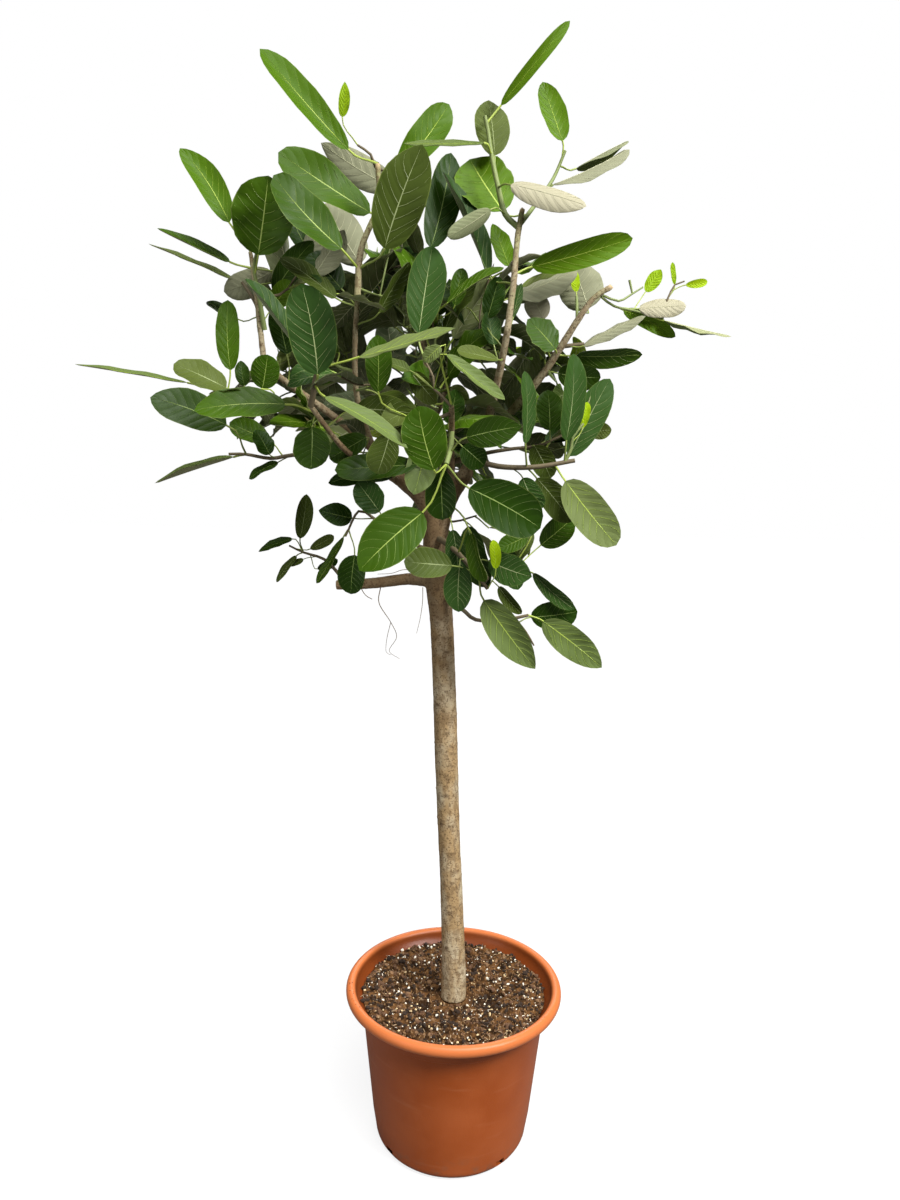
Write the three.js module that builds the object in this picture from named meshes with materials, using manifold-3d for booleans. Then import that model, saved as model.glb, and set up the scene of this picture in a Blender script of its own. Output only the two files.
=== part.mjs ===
// A large-leaved fig grown as a standard: a loose leafy crown on a bare straight stem,
// standing in a round plastic pot of potting soil.
// Millimetres, +Z up. The origin is the centre of the pot's flat underside, and -Y is the front.

import * as THREE from 'three';
import { mergeVertices } from 'three/addons/utils/BufferGeometryUtils.js';
import Module from 'manifold-3d';

const wasm = await Module();
wasm.setup();

// Pot: a thin moulded shell with a rolled rim
const potHeight = 252;
const footRadius = 121;        // body at the foot, before the rounded edge
const neckRadius = 145;        // body just under the rim
const neckHeight = 228;
const rimRadius = 170;         // out to the rolled rim's outer edge
const beadHalfWidth = 7.8;
const beadHalfHeight = 8.8;
const potWall = 3;
const potFloor = 5;
const footRounding = 15;
const turns = 30;              // facets round the pot and the soil

// Drain slots cut through the foot's rounded edge
const slotCount = 4;
const slotStart = 39.5;        // degrees from the front towards +X
const slotWidth = 16;
const slotHeight = 12;

// The wall inside widens under the rim
const innerSteps = [[142.1, 228.5], [150, 235.5]];

// Soil: fills the pot to a little under the rim, and is dished towards the stem
const soilEdge = [147.1, 233.6];
const soilNeckRadius = 141.4;
const soilSlope = [100, 230.5];
const soilStemHeight = 224;

// Stem: from a flat cut on the soil to the fork
const stemRadius = 17.5;
const flareRadius = 21;
const forkHeight = 976;

const gap = 0.45;              // clearance kept between neighbouring pieces
const weld = 0.2;              // the finest detail kept on the skin of a limb or mass
const unevenness = 0.08;       // how far a mass's skin wanders, as a share of its reach

// ---------------------------------------------------------------- solids

function toSolid(geometry) {
  const bare = geometry.clone();
  bare.deleteAttribute('normal');
  bare.deleteAttribute('uv');
  const merged = mergeVertices(bare, 1e-3);
  const corners = merged.index.array;
  const kept = [];
  for (let i = 0; i < corners.length; i += 3) {
    const [a, b, c] = [corners[i], corners[i + 1], corners[i + 2]];
    if (a !== b && b !== c && c !== a) kept.push(a, b, c);
  }
  return new wasm.Manifold(new wasm.Mesh({
    numProp: 3,
    vertProperties: new Float32Array(merged.attributes.position.array),
    triVerts: new Uint32Array(kept),
  }));
}

function toGeometry(solid) {
  const { numProp, vertProperties, triVerts } = solid.getMesh();
  const positions = [];
  for (let i = 0; i < vertProperties.length; i += numProp) {
    positions.push(vertProperties[i], vertProperties[i + 1], vertProperties[i + 2]);
  }
  const geometry = new THREE.BufferGeometry();
  geometry.setAttribute('position', new THREE.Float32BufferAttribute(positions, 3));
  geometry.setIndex(Array.from(triVerts));
  geometry.computeVertexNormals();
  return geometry;
}

// The one body that matters, when a cut leaves crumbs beside it.
function largestBody(solid) {
  const bodies = solid.decompose();
  bodies.sort((a, b) => b.volume() - a.volume());
  return bodies[0];
}

// ---------------------------------------------------------------- pot and soil

function quarterTurn(centre, radii, startAngle, steps) {
  const points = [];
  for (let i = 0; i <= steps; i++) {
    const angle = startAngle + (Math.PI / 2) * (i / steps);
    points.push(new THREE.Vector2(
      centre.x + radii.x * Math.cos(angle),
      centre.y + radii.y * Math.sin(angle),
    ));
  }
  return points;
}

// Turns a profile of (radius, height) round the upright axis.
function lathe(profile) {
  return new THREE.LatheGeometry(profile, turns).rotateX(Math.PI / 2);
}

function innerRadiusAt(height) {
  const share = height / neckHeight;
  return footRadius + (neckRadius - footRadius) * share - potWall;
}

function potSolid() {
  const bead = new THREE.Vector2(rimRadius - beadHalfWidth, potHeight - beadHalfHeight);
  const beadRadii = new THREE.Vector2(beadHalfWidth, beadHalfHeight);
  const footCentre = new THREE.Vector2(footRadius - footRounding, footRounding);
  const footRadii = new THREE.Vector2(footRounding, footRounding);
  const profile = [
    new THREE.Vector2(0, 0),
    ...quarterTurn(footCentre, footRadii, -Math.PI / 2, 3),
    new THREE.Vector2(neckRadius, neckHeight),
    ...quarterTurn(bead, beadRadii, -Math.PI / 2, 3),
    ...quarterTurn(bead, beadRadii, 0, 3).slice(1),
    new THREE.Vector2(bead.x - beadHalfWidth, bead.y),
    ...innerSteps.map(([radius, height]) => new THREE.Vector2(radius, height)).reverse(),
    new THREE.Vector2(innerRadiusAt(footRounding), footRounding),
    new THREE.Vector2(footRadius - footRounding, potFloor),
    new THREE.Vector2(0, potFloor),
  ];
  let pot = toSolid(lathe(profile));
  for (let i = 0; i < slotCount; i++) {
    const angle = THREE.MathUtils.degToRad(slotStart - 90 + (360 / slotCount) * i);
    const slot = new THREE.BoxGeometry(footRounding * 2, slotWidth, slotHeight);
    slot.translate(footRadius, 0, slotHeight / 2 + potFloor);
    slot.rotateZ(angle);
    pot = pot.subtract(toSolid(slot));
  }
  return pot;
}

function soilSolid() {
  const bottom = potFloor + gap;
  const profile = [
    new THREE.Vector2(0, bottom),
    new THREE.Vector2(footRadius - footRounding - gap, bottom),
    new THREE.Vector2(innerRadiusAt(footRounding) - gap, footRounding + gap),
    new THREE.Vector2(soilNeckRadius, innerSteps[0][1]),
    new THREE.Vector2(...soilEdge),
    new THREE.Vector2(...soilSlope),
    new THREE.Vector2(flareRadius * 2, soilStemHeight),
    new THREE.Vector2(0, soilStemHeight),
  ];
  return toSolid(lathe(profile));
}

// ---------------------------------------------------------------- stem and boughs

function between(values, share) {
  const place = share * (values.length - 1);
  const low = Math.min(Math.floor(place), values.length - 2);
  return THREE.MathUtils.lerp(values[low], values[low + 1], place - low);
}

// A round limb that tapers along a smooth line: a cylinder laid along the line, ring by ring.
function limbSolid({ line, radii, sides = 8, steps = 4 }, grow = 0) {
  const curve = new THREE.CatmullRomCurve3(line.map((point) => new THREE.Vector3(...point)));
  const frames = curve.computeFrenetFrames(steps);
  const tube = new THREE.CylinderGeometry(1, 1, 1, sides, steps);
  const corner = tube.attributes.position;
  for (let i = 0; i < corner.count; i++) {
    const share = corner.getY(i) + 0.5;
    const ring = Math.round(share * steps);
    const radius = between(radii, share) + grow;
    const overrun = ring === 0 ? -grow : ring === steps ? grow : 0;
    const place = curve.getPointAt(share)
      .addScaledVector(frames.normals[ring], corner.getX(i) * radius)
      .addScaledVector(frames.binormals[ring], -corner.getZ(i) * radius)
      .addScaledVector(frames.tangents[ring], overrun);
    corner.setXYZ(i, place.x, place.y, place.z);
  }
  return toSolid(tube);
}

const stem = {
  line: [
    [0, 0, soilStemHeight + gap], [0, 0, 262], [-6, 0, 390], [-14, 0, 520],
    [-19, 0, 620], [-25, 0, 740], [-31, 0, 835], [-40, 0, 915], [-43, 0, forkHeight],
  ],
  radii: [
    flareRadius, stemRadius + 1, stemRadius, stemRadius - 0.5, stemRadius,
    stemRadius + 0.5, stemRadius, stemRadius, stemRadius + 3,
  ],
  sides: 14,
  steps: 14,
};

const boughs = {
  bough_low_left: {
    line: [[-38, 0, 889], [-80, -4, 893], [-130, -6, 886], [-188, -8, 882]],
    radii: [9.5, 8.5, 8, 7.5],
  },
  bough_left: {
    line: [[-45, 2, 962], [-58, 4, 1004], [-98, 10, 1042]],
    radii: [13, 12, 11],
  },
  bough_right: {
    line: [[-40, -2, 964], [-24, 0, 1008], [2, 6, 1052]],
    radii: [13, 12, 11],
  },
  bough_back: {
    line: [[-44, 8, 968], [-50, 50, 1010], [-58, 90, 1056]],
    radii: [11, 10, 9],
  },
  bough_far_left: {
    line: [[-284, -45, 1200], [-292, -45, 1275], [-302, -40, 1345]],
    radii: [5, 4.2, 3.4],
  },
  bough_top_left: {
    line: [[-150, -75, 1280], [-146, -75, 1340], [-124, -68, 1400], [-126, -60, 1450]],
    radii: [5.5, 5, 4.5, 4.2],
  },
  bough_top_centre: {
    line: [[52, -80, 1240], [58, -80, 1300], [64, -75, 1360], [72, -60, 1412]],
    radii: [5.4, 5, 4.6, 4.2],
  },
  bough_top_right: {
    line: [[128, -40, 1225], [150, -50, 1262], [170, -50, 1290], [194, -45, 1304]],
    radii: [5.8, 5.2, 4.7, 4],
  },
};

// ---------------------------------------------------------------- foliage

// Smooth unevenness over a mass, between about -1 and 1.
function lump(direction, seed) {
  const wide = Math.sin(3.1 * direction.x + seed) * Math.cos(2.7 * direction.y - 2 * seed);
  const close = Math.sin(5.3 * direction.z + 1.7 * seed) * Math.cos(4.9 * direction.x + seed);
  return 0.6 * wide + 0.4 * close;
}

// How far a ray from inside the mass runs before it leaves one lobe for good, or 0 if it misses it.
function exitDistance(origin, direction, lobe) {
  const start = origin.clone().sub(lobe.centre).divide(lobe.halfSize);
  const way = direction.clone().divide(lobe.halfSize);
  const a = way.lengthSq();
  const b = start.dot(way);
  const inside = b * b - a * (start.lengthSq() - 1);
  return inside < 0 ? 0 : (Math.sqrt(inside) - b) / a;
}

// A mass of leaves: egg-shaped lobes strung along a shoot, wrapped in one closed uneven skin.
// first and last are the half sizes of the lobes at its two ends, and sway throws the lobes off the line.
function massSolid({ from, to, first, last, lobes = 4, sway = 0.25 }, seed, grow = 0) {
  const [start, end, startSize, endSize] = [from, to, first, last].map((v) => new THREE.Vector3(...v));
  const strung = [];
  for (let i = 0; i < lobes; i++) {
    const share = i / (lobes - 1);
    const halfSize = startSize.clone().lerp(endSize, share);
    const swing = Math.sin(Math.PI * share) * sway;
    const aside = new THREE.Vector3(0, Math.cos(seed + 2.4 * i), Math.sin(seed + 2.4 * i));
    const centre = start.clone().lerp(end, share).add(aside.multiply(halfSize).multiplyScalar(swing));
    strung.push({ centre, halfSize: halfSize.addScalar(grow) });
  }
  const middle = start.clone().lerp(end, 0.5);
  const skin = new THREE.IcosahedronGeometry(1, 2);
  const corner = skin.attributes.position;
  const direction = new THREE.Vector3();
  for (let i = 0; i < corner.count; i++) {
    direction.fromBufferAttribute(corner, i);
    const reach = Math.max(...strung.map((lobe) => exitDistance(middle, direction, lobe)));
    const uneven = reach * (1 + unevenness * lump(direction, seed));
    corner.setXYZ(
      i,
      middle.x + direction.x * uneven,
      middle.y + direction.y * uneven,
      middle.z + direction.z * uneven,
    );
  }
  return toSolid(skin);
}

const masses = {
  mass_core_left: {
    from: [-265, 0, 1130], to: [-130, 0, 1200],
    first: [85, 115, 80], last: [110, 140, 115],
  },
  mass_core_right: {
    from: [-10, 0, 1180], to: [110, 0, 1165],
    first: [110, 140, 120], last: [80, 115, 100],
  },
  mass_core_front: {
    from: [-200, -130, 1110], to: [60, -140, 1105],
    first: [80, 75, 85], last: [95, 80, 95],
  },
  mass_core_back: {
    from: [-200, 130, 1170], to: [80, 150, 1170],
    first: [85, 85, 75], last: [90, 85, 95],
  },
  mass_core_top: { from: [-200, 0, 1300], to: [-15, 10, 1305], first: [80, 90, 60], last: [85, 95, 60] },
  mass_left: { from: [-310, -20, 1125], to: [-420, -20, 1150], first: [85, 75, 62], last: [55, 40, 42] },
  mass_left_tip: {
    from: [-440, -20, 1172], to: [-540, -20, 1190],
    first: [50, 24, 16], last: [38, 14, 10],
  },
  mass_left_low: { from: [-330, 0, 1052], to: [-412, 0, 1040], first: [60, 30, 22], last: [50, 22, 16] },
  mass_left_top: {
    from: [-300, -10, 1330], to: [-378, -10, 1440],
    first: [85, 60, 60], last: [40, 35, 52],
  },
  mass_left_points: {
    from: [-365, -20, 1372], to: [-430, -20, 1368],
    first: [45, 30, 26], last: [34, 14, 14],
  },
  mass_top_left: { from: [-205, 0, 1405], to: [-255, 0, 1580], first: [85, 75, 75], last: [38, 25, 45] },
  mass_top: { from: [-100, 0, 1400], to: [-68, 0, 1505], first: [62, 75, 65], last: [48, 50, 52] },
  mass_top_centre: { from: [50, 0, 1435], to: [25, 0, 1508], first: [78, 75, 60], last: [52, 50, 52] },
  mass_top_tip: { from: [84, 0, 1550], to: [106, 0, 1622], first: [34, 30, 45], last: [26, 18, 44] },
  mass_top_right: { from: [132, 0, 1452], to: [184, 0, 1490], first: [50, 45, 36], last: [38, 24, 26] },
  mass_right_top: { from: [130, 0, 1330], to: [190, 0, 1375], first: [65, 55, 52], last: [42, 30, 28] },
  mass_right: { from: [180, 0, 1252], to: [252, 0, 1288], first: [55, 50, 40], last: [42, 30, 34] },
  mass_right_tip: { from: [300, 0, 1288], to: [345, 0, 1256], first: [38, 20, 30], last: [32, 14, 14] },
  mass_right_low: {
    from: [150, -30, 1160], to: [172, -30, 1085],
    first: [60, 70, 60], last: [42, 50, 56],
  },
  mass_low_front: {
    from: [-105, -80, 985], to: [-82, -80, 915],
    first: [72, 45, 65], last: [78, 30, 42],
  },
  mass_low_centre: { from: [0, -70, 1000], to: [5, -65, 898], first: [60, 50, 70], last: [45, 35, 52] },
  mass_low_right: { from: [105, -30, 988], to: [140, -30, 838], first: [95, 65, 66], last: [66, 45, 72] },
  mass_low_back: { from: [-80, 90, 1010], to: [60, 95, 960], first: [72, 65, 70], last: [70, 55, 72] },
  mass_back_low: { from: [-20, 170, 1040], to: [-30, 200, 980], first: [70, 50, 60], last: [55, 35, 50] },
  mass_back_tip: {
    from: [-90, 235, 1240], to: [-110, 300, 1290],
    first: [60, 50, 48], last: [38, 34, 34],
  },
  mass_back_top: {
    from: [-120, 120, 1310], to: [-60, 160, 1400],
    first: [80, 65, 60], last: [60, 45, 60],
  },
  mass_front_top: {
    from: [-150, -110, 1250], to: [-110, -150, 1310],
    first: [75, 50, 55], last: [55, 32, 40],
  },
  mass_sprig: { from: [-228, -8, 925], to: [-250, -8, 945], first: [50, 24, 42], last: [54, 26, 66] },
};

// ---------------------------------------------------------------- assembly

const looks = {
  pot: new THREE.MeshStandardMaterial({ color: 0xb5643c, roughness: 0.5, metalness: 0 }),
  soil: new THREE.MeshStandardMaterial({ color: 0x3d2a1e, roughness: 0.95, metalness: 0 }),
  bark: new THREE.MeshStandardMaterial({ color: 0xa58a68, roughness: 0.85, metalness: 0 }),
  leaves: new THREE.MeshStandardMaterial({ color: 0x3f6b35, roughness: 0.55, metalness: 0 }),
};

const group = new THREE.Group();

function addPiece(name, solid, look) {
  const mesh = new THREE.Mesh(toGeometry(solid), look.clone());
  mesh.name = name;
  group.add(mesh);
}

addPiece('pot', potSolid(), looks.pot);
addPiece('soil', soilSolid(), looks.soil);

// Each new piece is cut back from those before it, so neighbours meet with a small gap.
const taken = [];

function fit(solid) {
  let free = solid;
  for (const other of taken) free = free.subtract(other);
  return largestBody(free.simplify(weld));
}

for (const [name, limb] of Object.entries({ trunk: stem, ...boughs })) {
  addPiece(name, fit(limbSolid(limb)), looks.bark);
  taken.push(limbSolid(limb, gap));
}

Object.entries(masses).forEach(([name, mass], seed) => {
  addPiece(name, fit(massSolid(mass, seed)), looks.leaves);
  taken.push(massSolid(mass, seed, gap));
});

export default group;
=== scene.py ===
import math
import random

import bpy
import numpy as np
from mathutils import Matrix, Vector, noise
from mathutils.bvhtree import BVHTree


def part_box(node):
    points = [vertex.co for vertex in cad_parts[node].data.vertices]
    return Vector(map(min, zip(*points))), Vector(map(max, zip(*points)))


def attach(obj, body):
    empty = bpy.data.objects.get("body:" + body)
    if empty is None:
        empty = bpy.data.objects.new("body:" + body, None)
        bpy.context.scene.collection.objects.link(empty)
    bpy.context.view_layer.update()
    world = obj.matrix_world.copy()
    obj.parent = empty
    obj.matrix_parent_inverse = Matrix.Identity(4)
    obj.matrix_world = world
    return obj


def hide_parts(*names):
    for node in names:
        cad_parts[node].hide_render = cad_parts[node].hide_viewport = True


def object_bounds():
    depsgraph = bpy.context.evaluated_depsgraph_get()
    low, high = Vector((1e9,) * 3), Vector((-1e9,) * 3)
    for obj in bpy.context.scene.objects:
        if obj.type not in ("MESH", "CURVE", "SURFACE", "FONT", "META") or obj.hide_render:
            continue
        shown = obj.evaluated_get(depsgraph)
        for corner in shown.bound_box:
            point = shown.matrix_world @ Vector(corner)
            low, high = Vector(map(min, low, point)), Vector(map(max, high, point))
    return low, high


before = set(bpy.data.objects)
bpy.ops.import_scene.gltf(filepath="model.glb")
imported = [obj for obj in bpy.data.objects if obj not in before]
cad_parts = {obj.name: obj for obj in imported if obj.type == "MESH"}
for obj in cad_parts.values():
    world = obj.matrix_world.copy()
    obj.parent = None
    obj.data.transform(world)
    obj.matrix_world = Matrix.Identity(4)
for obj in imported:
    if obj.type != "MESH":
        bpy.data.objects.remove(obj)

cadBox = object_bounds()
cm = 0.01
mm = 0.001
up = Vector((0, 0, 1))

# Camera, a little above the middle of the plant and looking slightly down

cameraView = dict(
    place=Vector((0, -1.279, 1.045)),
    lens=25.98,
    sensor=36,
    tilt=81.87,      # degrees from straight down
    pan=0.833,
    roll=1.208,
)


def placeCamera():
    bpy.ops.object.camera_add(location=cameraView["place"])
    camera = bpy.context.object
    pan = Matrix.Rotation(math.radians(cameraView["pan"]), 4, "Z")
    tilt = Matrix.Rotation(math.radians(cameraView["tilt"]), 4, "X")
    roll = Matrix.Rotation(math.radians(cameraView["roll"]), 4, "Z")
    camera.matrix_world = Matrix.Translation(cameraView["place"]) @ pan @ tilt @ roll
    camera.data.lens = cameraView["lens"]
    camera.data.sensor_width = cameraView["sensor"]
    camera.data.dof.use_dof = False
    bpy.context.scene.camera = camera


placeCamera()
print("camera placed")


# Small helpers for objects and meshes

def deselectAll():
    if bpy.context.object and bpy.context.object.mode != "OBJECT":
        bpy.ops.object.mode_set(mode="OBJECT")
    bpy.ops.object.select_all(action="DESELECT")


def activate(piece):
    deselectAll()
    piece.select_set(True)
    bpy.context.view_layer.objects.active = piece


def applyModifier(piece, kind, **settings):
    activate(piece)
    modifier = piece.modifiers.new(kind.lower(), kind)
    for key, value in settings.items():
        setattr(modifier, key, value)
    bpy.ops.object.modifier_apply(modifier=modifier.name)


def smoothByAngle(piece, degrees):
    activate(piece)
    bpy.ops.object.shade_smooth_by_angle(angle=math.radians(degrees))


def joinAll(pieces, name):
    deselectAll()
    for piece in pieces:
        piece.select_set(True)
    bpy.context.view_layer.objects.active = pieces[0]
    bpy.ops.object.join()
    joined = bpy.context.object
    joined.name = name
    return joined


def settle(piece):       # the place goes into the mesh, so the object sits at the origin
    activate(piece)
    bpy.ops.object.transform_apply(location=True, rotation=True, scale=True)


def meshPiece(name, points, faces, materials, slots=None):
    mesh = bpy.data.meshes.new(name)
    mesh.from_pydata([tuple(p) for p in points], [], [tuple(f) for f in faces])
    for material in materials:
        mesh.materials.append(material)
    if slots is not None:
        mesh.polygons.foreach_set("material_index", np.asarray(slots, dtype=np.int32))
    mesh.update()
    piece = bpy.data.objects.new(name, mesh)
    bpy.context.collection.objects.link(piece)
    return piece


def hand(piece, slotName, *nodes):       # every piece rides on the one body
    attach(piece, "root")
    if nodes:
        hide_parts(*nodes)


def smoothLine(points, step):
    # a rounded line through the points, cut into steps of about one length
    corners = [Vector(p) for p in points]
    ends = [corners[0] * 2 - corners[1]] + corners + [corners[-1] * 2 - corners[-2]]
    line = [corners[0].copy()]
    for a, b, c, d in zip(ends, ends[1:], ends[2:], ends[3:]):
        count = max(1, round((c - b).length / step))
        for i in range(1, count + 1):
            t = i / count
            line.append(0.5 * (2 * b + (c - a) * t + (2 * a - 5 * b + 4 * c - d) * t ** 2
                               + (3 * b - a - 3 * c + d) * t ** 3))
    return line


def along(values, share):
    place = share * (len(values) - 1)
    low = min(int(place), len(values) - 2)
    return values[low] + (values[low + 1] - values[low]) * (place - low)


def sweep(line, thick, sides):
    # a closed round tube along a line; thick holds the radii spread along it
    points, faces = [], []
    side = None
    for i, place in enumerate(line):
        ahead = line[min(i + 1, len(line) - 1)] - line[max(i - 1, 0)]
        ahead.normalize()
        if side is None:
            side = ahead.orthogonal().normalized()
        side = (side - ahead * side.dot(ahead)).normalized()
        other = ahead.cross(side)
        radius = along(thick, i / (len(line) - 1))
        for k in range(sides):
            turn = math.tau * k / sides
            points.append(place + (side * math.cos(turn) + other * math.sin(turn)) * radius)
    for i in range(len(line) - 1):
        for k in range(sides):
            a, b = i * sides + k, i * sides + (k + 1) % sides
            faces.append((a, b, b + sides, a + sides))
    faces.append(tuple(reversed(range(sides))))
    faces.append(tuple(range(len(points) - sides, len(points))))
    return points, faces


class Bundle:      # many small shapes gathered into one mesh
    def __init__(self):
        self.points, self.faces, self.slots = [], [], []

    def add(self, points, faces, slot=0):
        first = len(self.points)
        self.points.extend(points)
        self.faces.extend(tuple(first + corner for corner in face) for face in faces)
        self.slots.extend([slot] * len(faces))

    def make(self, name, materials):
        return meshPiece(name, self.points, self.faces, materials, self.slots)


# Shader helpers and the effects that several finishes share

def addNode(tree, kind, inputs=None, **settings):
    made = tree.nodes.new(kind)
    for key, value in settings.items():
        setattr(made, key, value)
    for key, value in (inputs or {}).items():
        if isinstance(value, bpy.types.NodeSocket):
            tree.links.new(value, made.inputs[key])
        else:
            made.inputs[key].default_value = value
    return made


def maths(tree, operation, *values):
    return addNode(tree, "ShaderNodeMath", dict(enumerate(values)), operation=operation).outputs[0]


def ramp(tree, value, start, end, top=1.0):      # 0 at the start, the top value at the end
    mapped = addNode(tree, "ShaderNodeMapRange", {
        "Value": value, "From Min": start, "From Max": end, "To Max": top})
    return mapped.outputs[0]


def newGroup(name, inputs, output, outputKind):
    group = bpy.data.node_groups.new(name, "ShaderNodeTree")
    for label, kind, value in inputs:
        socket = group.interface.new_socket(name=label, in_out="INPUT", socket_type=kind)
        if value is not None:
            socket.default_value = value
    group.interface.new_socket(name=output, in_out="OUTPUT", socket_type=outputKind)
    given = group.nodes.new("NodeGroupInput")
    result = group.nodes.new("NodeGroupOutput")
    return group, given.outputs, result.inputs


def patchMaskGroup():    # soft patches between 0 and 1
    group, given, result = newGroup("patchMask", [
        ("Vector", "NodeSocketVector", None), ("Scale", "NodeSocketFloat", 20),
        ("Detail", "NodeSocketFloat", 4), ("Low", "NodeSocketFloat", 0.4), ("High", "NodeSocketFloat", 0.6),
    ], "Mask", "NodeSocketFloat")
    spots = addNode(group, "ShaderNodeTexNoise", {
        "Vector": given["Vector"], "Scale": given["Scale"], "Detail": given["Detail"]})
    group.links.new(ramp(group, spots.outputs[0], given["Low"], given["High"]), result["Mask"])
    return group


def fineReliefGroup():   # two sizes of unevenness for a bump
    group, given, result = newGroup("fineRelief", [
        ("Vector", "NodeSocketVector", None), ("Broad", "NodeSocketFloat", 60),
        ("Fine", "NodeSocketFloat", 300), ("Fine Share", "NodeSocketFloat", 0.4),
    ], "Height", "NodeSocketFloat")
    broad = addNode(group, "ShaderNodeTexNoise", {
        "Vector": given["Vector"], "Scale": given["Broad"], "Detail": 3})
    fine = addNode(group, "ShaderNodeTexNoise", {
        "Vector": given["Vector"], "Scale": given["Fine"], "Detail": 2})
    mixed = addNode(group, "ShaderNodeMix", {
        0: given["Fine Share"], 2: broad.outputs[0], 3: fine.outputs[0]}, data_type="FLOAT")
    group.links.new(mixed.outputs[0], result["Height"])
    return group


def bladeReliefGroup():
    # a leaf's surface rises between its side veins; reads the leaf's own length and width
    group, given, result = newGroup("bladeRelief", [
        ("Vector", "NodeSocketVector", None),
        ("Pairs", "NodeSocketFloat", 8), ("Slant", "NodeSocketFloat", 2.6),
    ], "Height", "NodeSocketFloat")
    split = addNode(group, "ShaderNodeSeparateXYZ", {0: given["Vector"]})
    aside = maths(group, "ABSOLUTE", maths(group, "SUBTRACT", split.outputs[1], 0.5))
    lean = maths(group, "MULTIPLY", aside, given["Slant"])
    count = maths(group, "MULTIPLY", split.outputs[0], given["Pairs"])
    turn = maths(group, "MULTIPLY", maths(group, "SUBTRACT", count, lean), math.pi)
    swell = maths(group, "ABSOLUTE", maths(group, "SINE", turn))
    group.links.new(swell, result["Height"])
    return group


patchMask = patchMaskGroup()
fineRelief = fineReliefGroup()
bladeRelief = bladeReliefGroup()


def newFinish(name, colour, roughness, specular=0.5):
    finish = bpy.data.materials.new(name)
    finish.use_nodes = True
    tree = finish.node_tree
    shader = tree.nodes["Principled BSDF"]
    shader.inputs["Base Color"].default_value = (*colour, 1)
    shader.inputs["Roughness"].default_value = roughness
    shader.inputs["Specular IOR Level"].default_value = specular
    finish.diffuse_color = (*colour, 1)
    return finish, tree, shader


def objectPlace(tree):
    return tree.nodes.new("ShaderNodeTexCoord").outputs["Object"]


def useGroup(tree, group, **inputs):
    placed = addNode(tree, "ShaderNodeGroup", node_tree=group)
    for label, value in inputs.items():
        label = label.replace("_", " ")
        if isinstance(value, bpy.types.NodeSocket):
            tree.links.new(value, placed.inputs[label])
        else:
            placed.inputs[label].default_value = value
    return placed.outputs[0]


def mixColours(tree, share, first, second):
    mixed = addNode(tree, "ShaderNodeMix", data_type="RGBA")
    for index, value in ((0, share), (6, first), (7, second)):
        if isinstance(value, bpy.types.NodeSocket):
            tree.links.new(value, mixed.inputs[index])
        elif index:
            mixed.inputs[index].default_value = (*value, 1)
        else:
            mixed.inputs[index].default_value = value
    return mixed.outputs[2]


def mapShare(tree, value, low, high):
    mapped = addNode(tree, "ShaderNodeMapRange", {"Value": value, "To Min": low, "To Max": high})
    return mapped.outputs[0]


def addBump(tree, shader, height, distance, strength=1.0):
    bump = addNode(tree, "ShaderNodeBump", {"Height": height, "Distance": distance, "Strength": strength})
    tree.links.new(bump.outputs[0], shader.inputs["Normal"])


def grainFinish(name, colour, roughness, broad, fine, depth):      # one colour with a fine grain
    finish, tree, shader = newFinish(name, colour, roughness)
    relief = useGroup(tree, fineRelief, Vector=objectPlace(tree), Broad=broad, Fine=fine, Fine_Share=0.5)
    addBump(tree, shader, relief, depth)
    return finish


# Pot: a moulded shell with a rolled rim, turned ring by ring from its foot

pot = dict(
    turns=96,
    footRadius=121 * mm, footRounding=15 * mm,
    neckRadius=145 * mm, neckHeight=228 * mm,
    rimRadius=170 * mm, height=252 * mm,
    beadHalfWidth=7.8 * mm, beadHalfHeight=8.8 * mm,
    wall=3 * mm, floor=5 * mm,
    innerSteps=[(150 * mm, 235.5 * mm), (142.1 * mm, 228.5 * mm)],
    bandHeight=211 * mm, bandStep=0.7 * mm,         # the body is a little thicker under the rim
    slotCount=4, slotStart=39.5, slotWidth=16 * mm, slotHeight=12 * mm,
    colour=(0.39, 0.090, 0.020), darker=(0.335, 0.068, 0.010),
    scuff=(0.50, 0.19, 0.09), dust=(0.16, 0.095, 0.055), dustHeight=50 * mm,
    # painted highlight: the rim and bead are mixed lighter from 228 mm up, for the top light falling on them
    rimHighlightColour=(0.56, 0.155, 0.044), rimHighlightFade=(228 * mm, 238 * mm),
    # painted shade: the inner wall above the neck goes darker, for the shade inside the pot
    insideShadeColour=(0.17, 0.036, 0.006), insideShadeFade=(157.5 * mm, 154.5 * mm),
    # painted shade: the drain slots go near black, for the shade inside them
    slotShadeColour=(0.03, 0.01, 0.004), slotShadeFade=(119 * mm, 116 * mm),
)


def quarterTurn(centreRadius, centreHeight, halfWidth, halfHeight, start, steps):
    turned = []
    for i in range(steps + 1):
        angle = math.radians(start + 90 * i / steps)
        radius = centreRadius + halfWidth * math.cos(angle)
        turned.append((radius, centreHeight + halfHeight * math.sin(angle)))
    return turned


def bodyRadius(height):
    return pot["footRadius"] + (pot["neckRadius"] - pot["footRadius"]) * height / pot["neckHeight"]


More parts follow.
